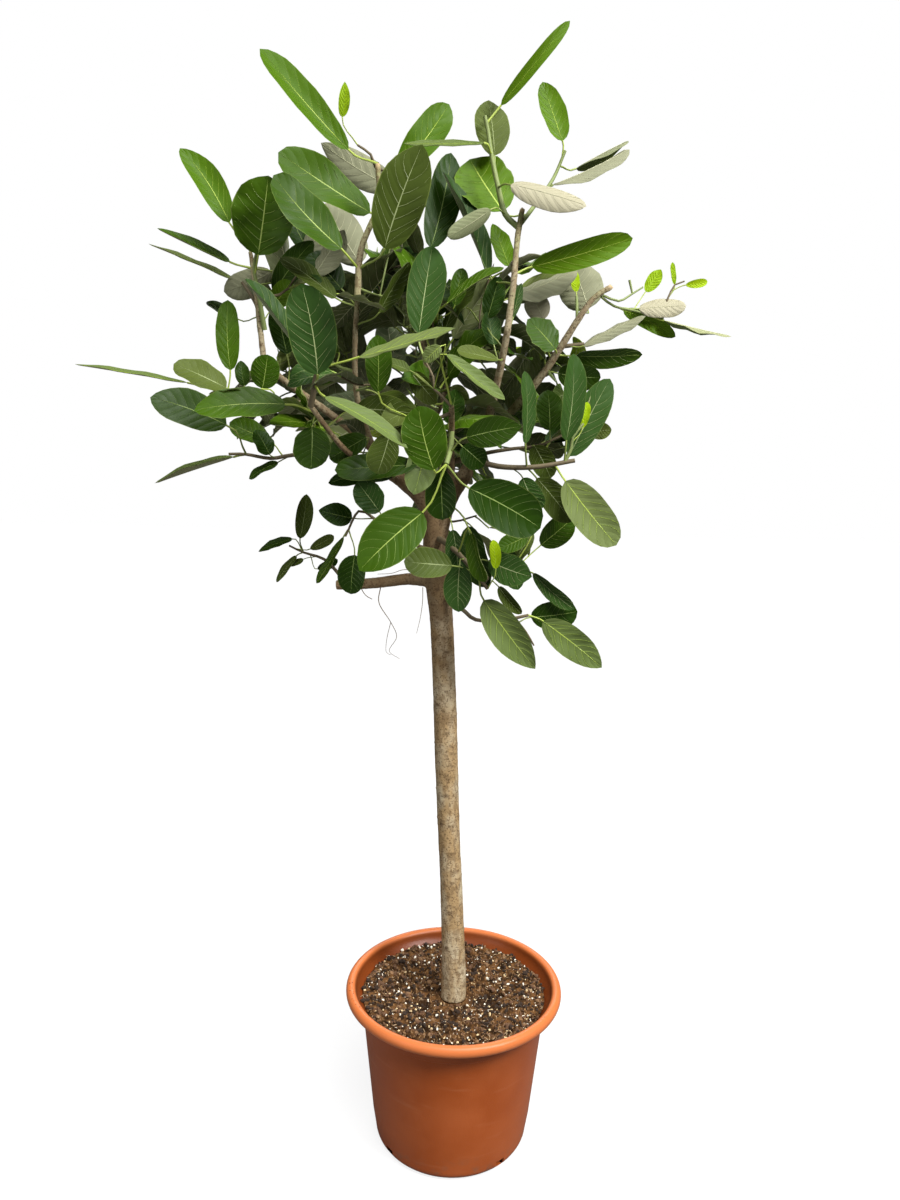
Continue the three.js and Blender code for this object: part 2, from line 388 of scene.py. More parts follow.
def potProfile():
    rounding, band, step = pot["footRounding"], pot["bandHeight"], pot["bandStep"]
    beadRadius = pot["rimRadius"] - pot["beadHalfWidth"]
    beadHeight = pot["height"] - pot["beadHalfHeight"]
    profile = [(40 * mm, 0), (80 * mm, 0)]
    profile += quarterTurn(pot["footRadius"] - rounding, rounding, rounding, rounding, -90, 7)
    profile += [(bodyRadius(h), h) for h in (45 * mm, 90 * mm, 140 * mm, 185 * mm, band - step)]
    profile += [(bodyRadius(band) + step, band)]
    profile += [(bodyRadius(pot["neckHeight"]) + step, pot["neckHeight"] - 3 * mm)]
    profile += [(pot["neckRadius"] + 3 * mm, pot["neckHeight"] + 1.5 * mm)]
    profile += quarterTurn(beadRadius, beadHeight, pot["beadHalfWidth"], pot["beadHalfHeight"], -90, 7)
    profile += quarterTurn(beadRadius, beadHeight, pot["beadHalfWidth"], pot["beadHalfHeight"], 0, 7)[1:]
    profile += quarterTurn(beadRadius, beadHeight, pot["beadHalfWidth"], pot["beadHalfHeight"], 90, 4)[1:]
    profile += pot["innerSteps"]
    profile += [(bodyRadius(h) - pot["wall"], h) for h in (190 * mm, 120 * mm, 60 * mm, rounding)]
    profile += [(pot["footRadius"] - rounding, pot["floor"]), (40 * mm, pot["floor"])]
    return profile


def potFinish():
    finish, tree, shader = newFinish("terracottaPlastic", pot["colour"], 0.5, 0.25)
    place = objectPlace(tree)
    cloudy = useGroup(tree, patchMask, Vector=place, Scale=14, Detail=3, Low=0.35, High=0.68)
    colour = mixColours(tree, cloudy, pot["darker"], pot["colour"])
    drawn = addNode(tree, "ShaderNodeMapping", {"Vector": place, "Scale": (1, 1, 7)})
    streaks = useGroup(tree, patchMask, Vector=drawn.outputs[0], Scale=11, Detail=6, Low=0.60, High=0.80)
    colour = mixColours(tree, mapShare(tree, streaks, 0, 0.25), colour, pot["scuff"])
    height = addNode(tree, "ShaderNodeSeparateXYZ", {0: place}).outputs[2]
    level = addNode(tree, "ShaderNodeVectorMath", {0: place, 1: (1, 1, 0)}, operation="MULTIPLY")
    radius = addNode(tree, "ShaderNodeVectorMath", {0: level.outputs[0]}, operation="LENGTH").outputs["Value"]
    # painted highlight: the rim is mixed lighter towards its top
    colour = mixColours(tree, ramp(tree, height, *pot["rimHighlightFade"]), colour, pot["rimHighlightColour"])
    # painted shade inside the pot: the inner wall above the neck is mixed darker
    aboveNeck = maths(tree, "GREATER_THAN", height, pot["neckHeight"])
    inside = maths(tree, "MULTIPLY", ramp(tree, radius, *pot["insideShadeFade"]), aboveNeck)
    colour = mixColours(tree, inside, colour, pot["insideShadeColour"])
    # painted shade in the drain slots: the walls just above the floor and inside the foot are mixed near black
    belowSlots = maths(tree, "LESS_THAN", height, pot["floor"] + pot["slotHeight"] + 0.5 * mm)
    slotLevel = maths(tree, "MULTIPLY", belowSlots, maths(tree, "GREATER_THAN", height, pot["floor"]))
    slotShade = maths(tree, "MULTIPLY", slotLevel, ramp(tree, radius, *pot["slotShadeFade"]))
    colour = mixColours(tree, slotShade, colour, pot["slotShadeColour"])
    spots = useGroup(tree, patchMask, Vector=place, Scale=60, Detail=5, Low=0.52, High=0.75)
    soiled = maths(tree, "MULTIPLY", ramp(tree, height, pot["dustHeight"], 0, 0.9), spots)
    colour = mixColours(tree, soiled, colour, pot["dust"])
    tree.links.new(colour, shader.inputs["Base Color"])
    tree.links.new(mapShare(tree, cloudy, 0.36, 0.46), shader.inputs["Roughness"])
    relief = useGroup(tree, fineRelief, Vector=place, Broad=45, Fine=420, Fine_Share=0.5)
    addBump(tree, shader, relief, 0.5 * mm, 0.6)
    return finish


def makePot():
    profile = potProfile()
    deselectAll()
    bpy.ops.mesh.primitive_circle_add(vertices=pot["turns"], radius=profile[0][0], fill_type="NOTHING")
    made = bpy.context.object
    made.name = "pottedShell"
    bpy.ops.object.mode_set(mode="EDIT")
    bpy.ops.mesh.select_all(action="SELECT")
    for (radius, height), (nextRadius, nextHeight) in zip(profile, profile[1:]):
        bpy.ops.mesh.extrude_region_move(TRANSFORM_OT_translate={"value": (0, 0, nextHeight - height)})
        share = nextRadius / radius
        bpy.ops.transform.resize(value=(share, share, 1))
    bpy.ops.mesh.edge_face_add()                      # closes the floor inside
    bpy.ops.mesh.select_all(action="DESELECT")
    bpy.ops.mesh.select_mode(type="EDGE")
    bpy.ops.mesh.select_non_manifold()
    bpy.ops.mesh.edge_face_add()                      # and the underside
    bpy.ops.mesh.select_all(action="SELECT")
    bpy.ops.mesh.remove_doubles(threshold=0.01 * mm)
    bpy.ops.mesh.normals_make_consistent(inside=False)
    bpy.ops.object.mode_set(mode="OBJECT")
    cutters = []
    for i in range(pot["slotCount"]):
        angle = math.radians(pot["slotStart"] - 90 + 360 / pot["slotCount"] * i)
        turn = Matrix.Rotation(angle, 4, "Z")
        middle = turn @ Vector((pot["footRadius"], 0, pot["floor"] + pot["slotHeight"] / 2))
        bpy.ops.mesh.primitive_cube_add(size=1, location=middle, rotation=(0, 0, angle))
        bpy.context.object.scale = (pot["footRounding"] * 2, pot["slotWidth"], pot["slotHeight"])
        applyModifier(bpy.context.object, "BEVEL", width=0.08, segments=2, affect="EDGES")
        cutters.append(bpy.context.object)
    cutter = joinAll(cutters, "slotCutter")
    settle(cutter)
    applyModifier(made, "BOOLEAN", object=cutter, operation="DIFFERENCE", solver="EXACT")
    bpy.data.objects.remove(cutter)
    made.data.materials.clear()
    made.data.materials.append(potFinish())
    settle(made)
    smoothByAngle(made, 38)
    hand(made, "pot_plastic", "pot")


makePot()
print("pot turned")


# Soil: a crumbly surface with perlite, crumbs and bark chips on it

soil = dict(
    edgeHeight=233.6 * mm, edgeRadius=147 * mm, neckRadius=141.4 * mm, neckHeight=228.5 * mm,
    bottom=6 * mm, clearance=0.6 * mm, voxel=2.6 * mm,
    dishDepth=10.4 * mm, dishReach=(35 * mm, 135 * mm),
    hollow=Vector((0.050, -0.002, 0)), hollowWidth=30 * mm, hollowDepth=9 * mm,
    clods=(55, 5.6 * mm), lumps=(150, 3.6 * mm), grains=(420, 1.4 * mm),     # how many a metre, how high
    darkBrown=(0.020, 0.009, 0.003), midBrown=(0.125, 0.058, 0.020), paleBrown=(0.27, 0.155, 0.070),
    # painted shadow: near-black patches on the soil, one in the hollow right of the stem and one at the front
    # left
    paintedShadeBrown=(0.012, 0.006, 0.003), shadeSpots=((0.048, -0.004, 34 * mm), (-0.048, -0.030, 22 * mm)),
    perlite=560, crumbs=1900, chips=460, rimCrumbs=34, rimCrumbAngles=(185, 190, 197, 205, 160, 330),
    perliteSizes=(0.6, 0.8, 0.9, 1.2, 1.5, 1.9, 2.4), stemClear=19 * mm,
)


def soilHeight(x, y):
    # the height of the soil's surface, measured from its edge
    place = Vector((x, y, 0))
    inner, outer = soil["dishReach"]
    share = min(1, max(0, (place.length - inner) / (outer - inner)))
    dish = soil["dishDepth"] * (1 - share * share * (3 - 2 * share))
    hollow = soil["hollowDepth"] * math.exp(-((place - soil["hollow"]).length / soil["hollowWidth"]) ** 2)
    rough = sum(high * noise.noise(place * many + Vector((many, 3, 0)))
                for many, high in (soil["clods"], soil["lumps"], soil["grains"]))
    nearStem = 1 - 0.7 * math.exp(-(place.length / (30 * mm)) ** 4)
    nearEdge = 1 - 0.6 * min(1, max(0, (place.length - 135 * mm) / (12 * mm)))
    return rough * nearStem * nearEdge - dish - hollow


def soilFinish():
    finish, tree, shader = newFinish("pottingSoil", soil["midBrown"], 0.95, 0.08)
    place = objectPlace(tree)
    clods = useGroup(tree, patchMask, Vector=place, Scale=85, Detail=8, Low=0.42, High=0.62)
    colour = mixColours(tree, clods, soil["darkBrown"], soil["midBrown"])
    drawn = addNode(tree, "ShaderNodeMapping", {
        "Vector": place, "Scale": (1, 0.35, 1), "Rotation": (0, 0, 0.6)})
    fibres = useGroup(tree, patchMask, Vector=drawn.outputs[0], Scale=420, Detail=3, Low=0.56, High=0.68)
    colour = mixColours(tree, fibres, colour, soil["paleBrown"])
    # painted shadow: the soil is mixed near black round each shade spot
    for x, y, reach in soil["shadeSpots"]:
        away = addNode(tree, "ShaderNodeVectorMath", {
            0: place, 1: (x, y, soil["edgeHeight"] - soil["dishDepth"])}, operation="DISTANCE")
        inShade = ramp(tree, away.outputs["Value"], reach, reach * 0.4, 0.8)
        colour = mixColours(tree, inShade, colour, soil["paintedShadeBrown"])
    tree.links.new(colour, shader.inputs["Base Color"])
    tree.links.new(mapShare(tree, clods, 0.88, 1.0), shader.inputs["Roughness"])
    relief = useGroup(tree, fineRelief, Vector=place, Broad=260, Fine=900, Fine_Share=0.5)
    addBump(tree, shader, relief, 1.4 * mm)
    return finish


def looseBit(rng, place, size):
    # a small angular lump with twelve corners, squeezed a little differently each time
    points, faces = lumpShape
    squeeze = Vector((rng.uniform(0.7, 1.3), rng.uniform(0.7, 1.3), rng.uniform(0.55, 1.0)))
    turn = Matrix.Rotation(rng.uniform(0, math.tau), 3, (rng.random(), rng.random(), rng.random() + 0.1))
    return [place + turn @ (p * squeeze * size * rng.uniform(0.75, 1.15)) for p in points], faces


def lumpCorners():
    deselectAll()
    bpy.ops.mesh.primitive_ico_sphere_add(subdivisions=1, radius=1)
    lump = bpy.context.object
    shape = ([v.co.copy() for v in lump.data.vertices], [tuple(f.vertices) for f in lump.data.polygons])
    bpy.data.objects.remove(lump)
    return shape


lumpShape = lumpCorners()


def growCap(piece, side, rise, share):
    # pulls the flat top (side 1) or bottom (side -1) out into another ring
    activate(piece)
    bpy.ops.object.mode_set(mode="EDIT")
    bpy.ops.mesh.select_mode(type="FACE")
    bpy.ops.mesh.select_all(action="DESELECT")
    bpy.ops.object.mode_set(mode="OBJECT")
    for face in piece.data.polygons:
        face.select = face.normal.z * side > 0.9
    bpy.ops.object.mode_set(mode="EDIT")
    bpy.ops.mesh.extrude_region_move(TRANSFORM_OT_translate={"value": (0, 0, rise)})
    bpy.ops.transform.resize(value=(share, share, 1))
    bpy.ops.object.mode_set(mode="OBJECT")


def makeSoil():
    low = bodyRadius(pot["footRounding"]) - pot["wall"] - soil["clearance"]
    footing = pot["footRounding"] + 1 * mm
    deselectAll()
    bpy.ops.mesh.primitive_cone_add(
        vertices=96, radius1=low, radius2=soil["neckRadius"], depth=soil["neckHeight"] - footing,
        location=(0, 0, (soil["neckHeight"] + footing) / 2))
    made = bpy.context.object
    made.name = "soilFill"
    settle(made)
    bottomRadius = pot["footRadius"] - pot["footRounding"] - 1 * mm
    growCap(made, -1, soil["bottom"] - footing, bottomRadius / low)      # follows the pot's rounded foot
    growCap(made, 1, soil["edgeHeight"] - soil["neckHeight"], soil["edgeRadius"] / soil["neckRadius"])
    applyModifier(made, "REMESH", mode="VOXEL", voxel_size=soil["voxel"])
    for vertex in made.data.vertices:
        near = 1 - min(1, max(0, (soil["edgeHeight"] - vertex.co.z) / (6 * mm)))
        vertex.co.z += near * soilHeight(vertex.co.x, vertex.co.y)
    made.data.materials.clear()
    made.data.materials.append(soilFinish())
    smoothByAngle(made, 50)
    hand(made, "potting_soil", "soil")


def scatterOnSoil():
    rng = random.Random(7)
    inner, outer = soil["stemClear"], soil["edgeRadius"] - 3 * mm

    def spot():
        radius = inner + (outer - inner) * rng.random() ** 0.5
        angle = rng.uniform(0, math.tau)
        x, y = radius * math.cos(angle), radius * math.sin(angle)
        return Vector((x, y, soil["edgeHeight"] + soilHeight(x, y)))

    perlite = Bundle()
    for i in range(soil["perlite"]):
        size = rng.choice(soil["perliteSizes"]) * mm
        perlite.add(*looseBit(rng, spot() + up * size * 0.35, size), slot=0 if rng.random() < 0.62 else 1)
    white = grainFinish("perliteWhite", (0.82, 0.77, 0.64), 0.85, 900, 2500, 0.3 * mm)
    cream = grainFinish("perliteCream", (0.66, 0.50, 0.27), 0.85, 900, 2500, 0.3 * mm)
    hand(perlite.make("perlite", [white, cream]), "potting_soil")

    crumbs = Bundle()
    for i in range(soil["crumbs"]):
        size = (0.9 + 3.4 * rng.random() ** 2) * mm
        place = spot()
        # crumbs inside the painted shadow spots get the dark crumb finish
        inShade = any(math.hypot(place.x - x, place.y - y) < 0.7 * reach for x, y, reach in soil["shadeSpots"])
        sunk = noise.noise(place * 45) < -0.05
        slot = 2 if inShade or sunk else rng.choice((0, 0, 0, 1, 2))
        crumbs.add(*looseBit(rng, place + up * size * 0.2, size), slot=slot)
    for i in range(soil["rimCrumbs"]):                # a few crumbs left on the rim
        angle = math.radians(rng.choice(soil["rimCrumbAngles"]) + rng.uniform(-5, 5))
        radius = pot["rimRadius"] - pot["beadHalfWidth"] + rng.uniform(-3, 3) * mm
        size = rng.uniform(0.4, 0.9) * mm
        place = Vector((radius * math.cos(angle), radius * math.sin(angle), pot["height"] - 0.4 * mm))
        crumbs.add(*looseBit(rng, place, size), slot=rng.choice((0, 2)))
    peat = grainFinish("peatCrumb", (0.105, 0.050, 0.022), 0.95, 700, 2000, 0.5 * mm)
    tan = grainFinish("tanCrumb", (0.21, 0.115, 0.052), 0.95, 700, 2000, 0.5 * mm)
    black = grainFinish("darkCrumb", (0.024, 0.012, 0.005), 0.95, 700, 2000, 0.5 * mm)
    hand(crumbs.make("soilCrumbs", [peat, tan, black]), "potting_soil")

    chips = Bundle()
    for i in range(soil["chips"]):
        start = spot() + up * 0.6 * mm
        heading = rng.uniform(0, math.tau)
        way = Vector((math.cos(heading), math.sin(heading), rng.uniform(-0.12, 0.3)))
        length = rng.uniform(3, 9) * mm
        bend = Vector((rng.uniform(-1, 1), rng.uniform(-1, 1), 0.5)) * length * 0.12
        line = [start, start + way * length / 2 + bend, start + way * length]
        thick = [0.5 * mm, rng.uniform(0.4, 1.0) * mm, 0.25 * mm]
        chips.add(*sweep(line, thick, 4), slot=rng.choice((0, 1, 1)))
    straw = grainFinish("barkChipPale", (0.36, 0.25, 0.14), 0.85, 500, 1600, 0.4 * mm)
    umber = grainFinish("barkChipDark", (0.13, 0.07, 0.035), 0.85, 500, 1600, 0.4 * mm)
    hand(chips.make("barkChips", [straw, umber]), "potting_soil")


makeSoil()
scatterOnSoil()
print("soil filled")


# Stem and boughs: lines in centimetres and radii in millimetres, the first nine close to the model's

limbs = {
    "trunk": (
        [(0, 0, 22.3), (0, 0, 26.2), (-0.6, 0, 39), (-1.4, 0, 52), (-1.9, 0, 62), (-2.5, 0, 74),
         (-3.1, 0, 83.5),
         (-4, 0, 91.5), (-4.3, 0, 97.6), (-4.5, 0.2, 99.5)],
        [20.5, 18.5, 17.5, 17, 17.5, 18, 17.5, 17.5, 20, 16]),
    "boughLowLeft": (
        [(-3.8, 0, 88.9), (-8, -0.4, 89.3), (-13, -0.6, 88.6), (-18.8, -0.8, 88.2)], [10.5, 8.8, 8, 7.5]),
    "boughLeft": ([(-4.5, 0.2, 95), (-5.8, 0.4, 100.4), (-9.8, 1, 104.2)], [14, 12, 11]),
    "boughRight": ([(-4, -0.2, 95), (-2.4, 0, 100.8), (0.2, 0.6, 105.2)], [14, 12, 11]),
    "boughBack": ([(-4.4, 0.8, 96.8), (-5, 5, 101), (-5.8, 9, 105.6)], [12, 10, 9]),
    "boughFarLeft": ([(-28.4, -4.5, 120), (-29.2, -4.5, 127.5), (-30.2, -4, 134.5)], [4.6, 3.9, 3]),
    "boughTopLeft": (
        [(-15, -7.5, 128), (-14.6, -7.5, 134), (-12.4, -6.8, 140), (-12.6, -6, 145.4)], [4.8, 4.4, 4, 3.8]),
    "boughTopCentre": (
        [(5.2, -8, 124), (5.8, -7.8, 130), (6.2, -7, 136), (6.8, -6.2, 140)], [4.9, 4.5, 4.2, 4]),
    "boughTopRight": (
        [(12.8, -4, 122.5), (15, -5, 126.2), (17, -5, 129), (19.4, -4.5, 130.6)], [5.2, 4.8, 4.3, 3.8]),
    # the same boughs carried on through the crown
    "leftLeader": (
        [(-9.8, 1, 104.2), (-15, 0, 109.5), (-21, -1.5, 114), (-26, -3.5, 117.5), (-28.4, -4.5, 120)],
        [10, 7, 5.6, 4.8, 4.4]),
    "topLeftLeader": (
        [(-13.5, 0.3, 108), (-15.5, -3, 115), (-15.5, -6, 122), (-15, -7.5, 128)], [5.4, 4.4, 3.9, 3.6]),
    "rightLeader": ([(0.2, 0.6, 105.2), (2.6, -2, 111), (4.2, -5.5, 118), (5.2, -8, 124)], [10, 7, 5.6, 4.9]),
    "farRightLeader": (
        [(1.8, -0.5, 109), (6.5, -1, 114), (10.2, -2.5, 118.5), (12.8, -4, 122.5)], [7.5, 6.5, 5.8, 5.2]),
    "backLeader": ([(-5.8, 9, 105.6), (-6, 13, 113), (-7.5, 18, 120), (-9, 24, 125.5)], [8.5, 7, 5.5, 4]),
    "topBackLeader": ([(-6, 12.4, 112), (-3, 14, 120), (-5, 14.5, 131)], [6, 5, 4]),
    "topLeader": ([(-4.5, 0.2, 99), (-5, 2, 108), (-6, 2, 120), (-8, 1, 133)], [9, 7, 5.5, 4]),
    "frontLeader": (
        [(-7, 0.6, 101.6), (-11, -5, 104.5), (-16, -10, 107.5), (-20, -15, 113)], [6.2, 4.8, 4, 3.6]),
    "frontRightLeader": (
        [(-2, 0.2, 101.5), (-2, -5, 107), (-2, -9, 110.5), (-2, -13, 113.5)], [6, 5.2, 4.6, 4]),
}
cutEnds = [(-18.8, -0.8, 88.2), (-12.6, -6, 145.4), (6.8, -6.2, 140),
           (19.4, -4.5, 130.6)]    # pruned wood shows

bark = dict(
    sides=20, step=1.2 * cm, voxel=2.1 * mm,
    relief=0.5 * mm, fineRelief=0.22 * mm, ringRise=0.7 * mm, knotRise=1.4 * mm, ringWidth=1.5 * mm,
    rings=(26.5, 29.2, 33.8, 38.5, 43, 47.2, 52.4, 57, 61.3, 64.2, 68.8, 73.1, 75.9, 79, 80.8, 83.4, 85.7,
           87.9, 90.6, 93.2),
    # height in centimetres, degrees round from the front, size in millimetres
    knots=((27.6, 14, 2.2), (31.5, -30, 3), (37.5, -14, 3.4), (44.2, 40, 3), (51.8, -40, 3), (56.4, -8, 4.2),
           (63, 30, 2.4), (70.5, -36, 3), (78.6, 24, 3.6), (83, -20, 3), (86.4, 30, 3.6), (88, -4, 3),
           (34, 140, 4), (47, 200, 4), (58, 160, 5), (69, 230, 4), (76, 150, 5), (83, 190, 5)),
    tan=(0.38, 0.255, 0.120), grey=(0.50, 0.41, 0.265), brown=(0.17, 0.105, 0.048), green=(0.24, 0.25, 0.095),
    ashen=(0.35, 0.29, 0.175), lenticels=(0.6, 0.6, 3.4),
    dark=(0.075, 0.040, 0.018), wood=(0.55, 0.40, 0.22),
    zones=(("brown", 0.74, 1.0, 0.85), ("ashen", 1.12, 1.28, 1),
    ("green", 1.34, 1.50, 0.8)),    # heights in metres
    trunkTop=96.5 * cm, trunkReach=23 * mm, trunkRadius=17 * mm, cutReach=7 * mm,
)


def limbTube(name, line, thick):
    middle = smoothLine([Vector(p) * cm for p in line], bark["step"])
    points, faces = sweep(middle, [r * mm for r in thick], bark["sides"])
    return meshPiece(name, points, faces, [])


def trunkMiddle(height):
    line, thick = limbs["trunk"]
    for low, high in zip(line, line[1:]):
        if low[2] <= height / cm <= high[2]:
            share = (height / cm - low[2]) / (high[2] - low[2])
            return Vector(low).lerp(Vector(high), share) * cm
    return Vector(line[0]) * cm


def barkMarks(place, onTrunk):
    # how strongly a leaf scar ring or a knot marks this place, and how far it stands out
    ring, knot = 0, 0
    if onTrunk:
        for i, height in enumerate(bark["rings"]):
            wander = 2.5 * mm * noise.noise(place * 30 + Vector((0, 0, i)))
            away = (place.z - height * cm + wander) / bark["ringWidth"]
            if abs(away) < 3:
                patchy = min(1, max(0, 0.35 + 2.2 * noise.noise(place * 38 + Vector((i, 5, 0)))))
                ring = max(ring, math.exp(-away * away) * patchy)
        middle = trunkMiddle(place.z)
        angle = math.degrees(math.atan2(place.x - middle.x, middle.y - place.y))
        for height, around, size in bark["knots"]:
            turn = (angle - around + 180) % 360 - 180
            across = math.radians(turn) * bark["trunkRadius"]
            away = math.hypot(across * 0.8, (place.z - height * cm) * 1.5) / (size * mm)
            knot = max(knot, math.exp(-away * away))
    else:
        swell = noise.noise(place * 90)
        ring = max(0, math.sin((place.x + place.y + place.z) * 210) - 0.93) * 9 * max(0, 0.5 + swell)
    return min(1, ring), knot


def barkFinish():
    finish, tree, shader = newFinish("figBark", bark["tan"], 0.82, 0.3)
    place = objectPlace(tree)
    drawn = addNode(tree, "ShaderNodeMapping", {"Vector": place, "Scale": (1, 1, 0.5)})
    patches = useGroup(tree, patchMask, Vector=drawn.outputs[0], Scale=42, Detail=5, Low=0.42, High=0.62)
    colour = mixColours(tree, patches, bark["tan"], bark["grey"])
    heights = addNode(tree, "ShaderNodeSeparateXYZ", {0: place})
    ragged = useGroup(tree, patchMask, Vector=place, Scale=30, Detail=4, Low=0.3, High=0.7)
    raised = maths(tree, "MULTIPLY_ADD", ragged, 0.16, heights.outputs[2])
    for shade, start, end, share in bark["zones"]:
        colour = mixColours(tree, ramp(tree, raised, start, end, share), colour, bark[shade])
    blotches = useGroup(tree, patchMask, Vector=drawn.outputs[0], Scale=150, Detail=7, Low=0.50, High=0.58)
    colour = mixColours(tree, mapShare(tree, blotches, 0, 0.55), colour, bark["brown"])
    level = addNode(tree, "ShaderNodeMapping", {"Vector": place, "Scale": bark["lenticels"]})
    lines = useGroup(tree, patchMask, Vector=level.outputs[0], Scale=150, Detail=3, Low=0.60, High=0.68)
    colour = mixColours(tree, mapShare(tree, lines, 0, 0.6), colour, bark["brown"])
    mottle = useGroup(tree, patchMask, Vector=place, Scale=380, Detail=4, Low=0.54, High=0.64)
    colour = mixColours(tree, mapShare(tree, mottle, 0, 0.7), colour, bark["dark"])
    marks = addNode(tree, "ShaderNodeAttribute", attribute_name="marks")
    colour = mixColours(tree, mapShare(tree, marks.outputs["Fac"], 0, 0.85), colour, bark["dark"])
    cuts = addNode(tree, "ShaderNodeAttribute", attribute_name="cutWood")
    colour = mixColours(tree, cuts.outputs["Fac"], colour, bark["wood"])
    tree.links.new(colour, shader.inputs["Base Color"])
    tree.links.new(mapShare(tree, mottle, 0.74, 0.92), shader.inputs["Roughness"])
    relief = useGroup(tree, fineRelief, Vector=drawn.outputs[0], Broad=260, Fine=800, Fine_Share=0.4)
    addBump(tree, shader, relief, 0.9 * mm)
    return finish


def makeLimbs():
    tubes = [limbTube(name, line, thick) for name, (line, thick) in limbs.items()]
    made = joinAll(tubes, "trunkAndBoughs")
    applyModifier(made, "REMESH", mode="VOXEL", voxel_size=bark["voxel"])
    applyModifier(made, "SMOOTH", factor=0.5, iterations=3)
    mesh = made.data
    marks = mesh.attributes.new("marks", "FLOAT", "POINT")
    cutWood = mesh.attributes.new("cutWood", "FLOAT", "POINT")
    normals = [v.normal.copy() for v in mesh.vertices]
    for vertex, normal in zip(mesh.vertices, normals):
        place = vertex.co.copy()
        onTrunk = place.z < bark["trunkTop"] and (place - trunkMiddle(place.z)).length < bark["trunkReach"]
        ring, knot = barkMarks(place, onTrunk)
        cut = max(math.exp(-((place - Vector(end) * cm).length / bark["cutReach"]) ** 4) for end in cutEnds)
        rise = bark["relief"] * noise.noise(Vector((place.x, place.y, place.z * 0.6)) * 95)
        rise += bark["fineRelief"] * noise.noise(place * 260)
        rise += bark["ringRise"] * ring + bark["knotRise"] * knot * (1 - knot * 0.9)
        vertex.co = place + normal * rise * (1 if onTrunk else 0.7)
        marks.data[vertex.index].value = max(0.42 * ring, knot)
        cutWood.data[vertex.index].value = cut
    mesh.materials.clear()
    mesh.materials.append(barkFinish())
    smoothByAngle(made, 60)
    boughNodes = [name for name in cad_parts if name.startswith("bough_")]
    hand(made, "bark", "trunk", *boughNodes)


makeLimbs()
print("stem and boughs grown")


# Bare twigs that show between the leaves: line in centimetres, radii in millimetres at both ends, green or brown

shownTwigs = [
    ([(6.4, -6.6, 137.4), (4.5, -5.5, 139.5), (3.5, -5, 143), (2.5, -4, 147.5), (2, -3.5, 150.5),
      (1.5, -3.5, 152.5)],
     4.2, 2.6, "green"),
    ([(6.6, -6.4, 138), (8.5, -4, 141), (10.5, -3, 144), (11.5, -2, 146), (12.6, -2, 148.8)],
     3.2, 2, "green"),
    ([(-28.2, -4.6, 124), (-28.6, -6, 128), (-29, -7, 131.5), (-28.5, -7.5, 133.6)], 3.6, 2, "green"),
    ([(-28.8, -4.5, 125), (-29.5, -4, 127.5), (-31.5, -3.5, 130.5)], 3, 2.2, "brown"),
    ([(-20, -15, 113), (-19.5, -16, 114.5), (-19, -17, 116.5), (-18.5, -17, 117.5)], 4.2, 3, "brown"),
    ([(-15, -6, 106), (-19.5, -3, 107.5), (-25, -2.5, 107), (-28, -2.5, 106.5), (-31.5, -2.5, 107),
      (-34, -2.5, 107)],
     4, 2, "brown"),
    ([(-22, -2, 114.3), (-26.5, -4, 114.5), (-31, -4, 115), (-34.5, -4, 115.5)], 4, 2, "brown"),
    ([(-17.2, -0.8, 88.3), (-18.3, -1, 89.8), (-20.5, -1, 92), (-23.5, -1.5, 93), (-25.5, -2, 94)],
     3, 1.4, "brown"),
    ([(-4.4, -1, 93.5), (-6.5, -4, 94.5), (-9.5, -7, 96), (-12.5, -8, 98.5), (-14.5, -9, 99.5),
      (-16.3, -9, 96)],
     3.6, 1.4, "brown"),
    ([(-2, -9, 110.5), (-2, -12, 108.3), (-2.5, -14.5, 106)], 4, 3.4, "green"),
    ([(-2, -3.5, 106.5), (0.5, -5, 107), (4.5, -6, 106), (9.5, -7, 106), (15, -7, 107)], 4.4, 3, "brown"),
    ([(13.6, -7, 106.7), (14.4, -7, 108.6), (14.6, -7, 110.2), (16, -6.5, 112)], 2.8, 2, "green"),
    ([(1.5, -1, 107.5), (3.5, -3, 108), (6.5, -4, 108.5), (10, -4.5, 109), (13.5, -5, 110.5)],
     3.2, 1.6, "brown"),
    ([(-4, -1, 95.6), (-2, -4, 94.6), (0, -6, 93), (3.5, -7.5, 89)], 4.6, 2.6, "brown"),
    ([(-3, -1, 87.4), (0.5, -3.5, 85), (2, -4, 84), (5.5, -4.5, 84), (7.5, -5, 84.5), (9.5, -5, 85)],
     3.4, 2.2, "brown"),
    ([(7.5, -5, 84.5), (9.2, -4.8, 82.6), (10.5, -4.5, 80.5)], 2, 1.2, "brown"),
    ([(18.2, -4.6, 129.4), (20.5, -4, 128.8), (22.5, -3, 130), (24, -2.5, 131)], 1.8, 1.2, "green"),
    ([(22.5, -3, 130), (22, -3, 131.8)], 1.4, 1.8, "green"),
    ([(18, -4.6, 129.2), (20, -3.5, 128.2), (23.5, -3, 127.6), (25.5, -3, 127), (27, -3, 126.8)],
     1.8, 1.3, "green"),
    ([(25.5, -3, 127), (27, -2.6, 128), (27.5, -2.5, 129.5), (28.5, -2, 131.5), (29.8, -2, 132)],
     1.8, 1.1, "brown"),
    ([(12.8, -4, 122.6), (14.5, -4, 122.8), (16, -4, 123)], 3.2, 2.4, "brown"),
    ([(14.8, -4.8, 125.8), (15, -3, 127), (15, -1.5, 129.8)], 2.6, 2, "green"),
]
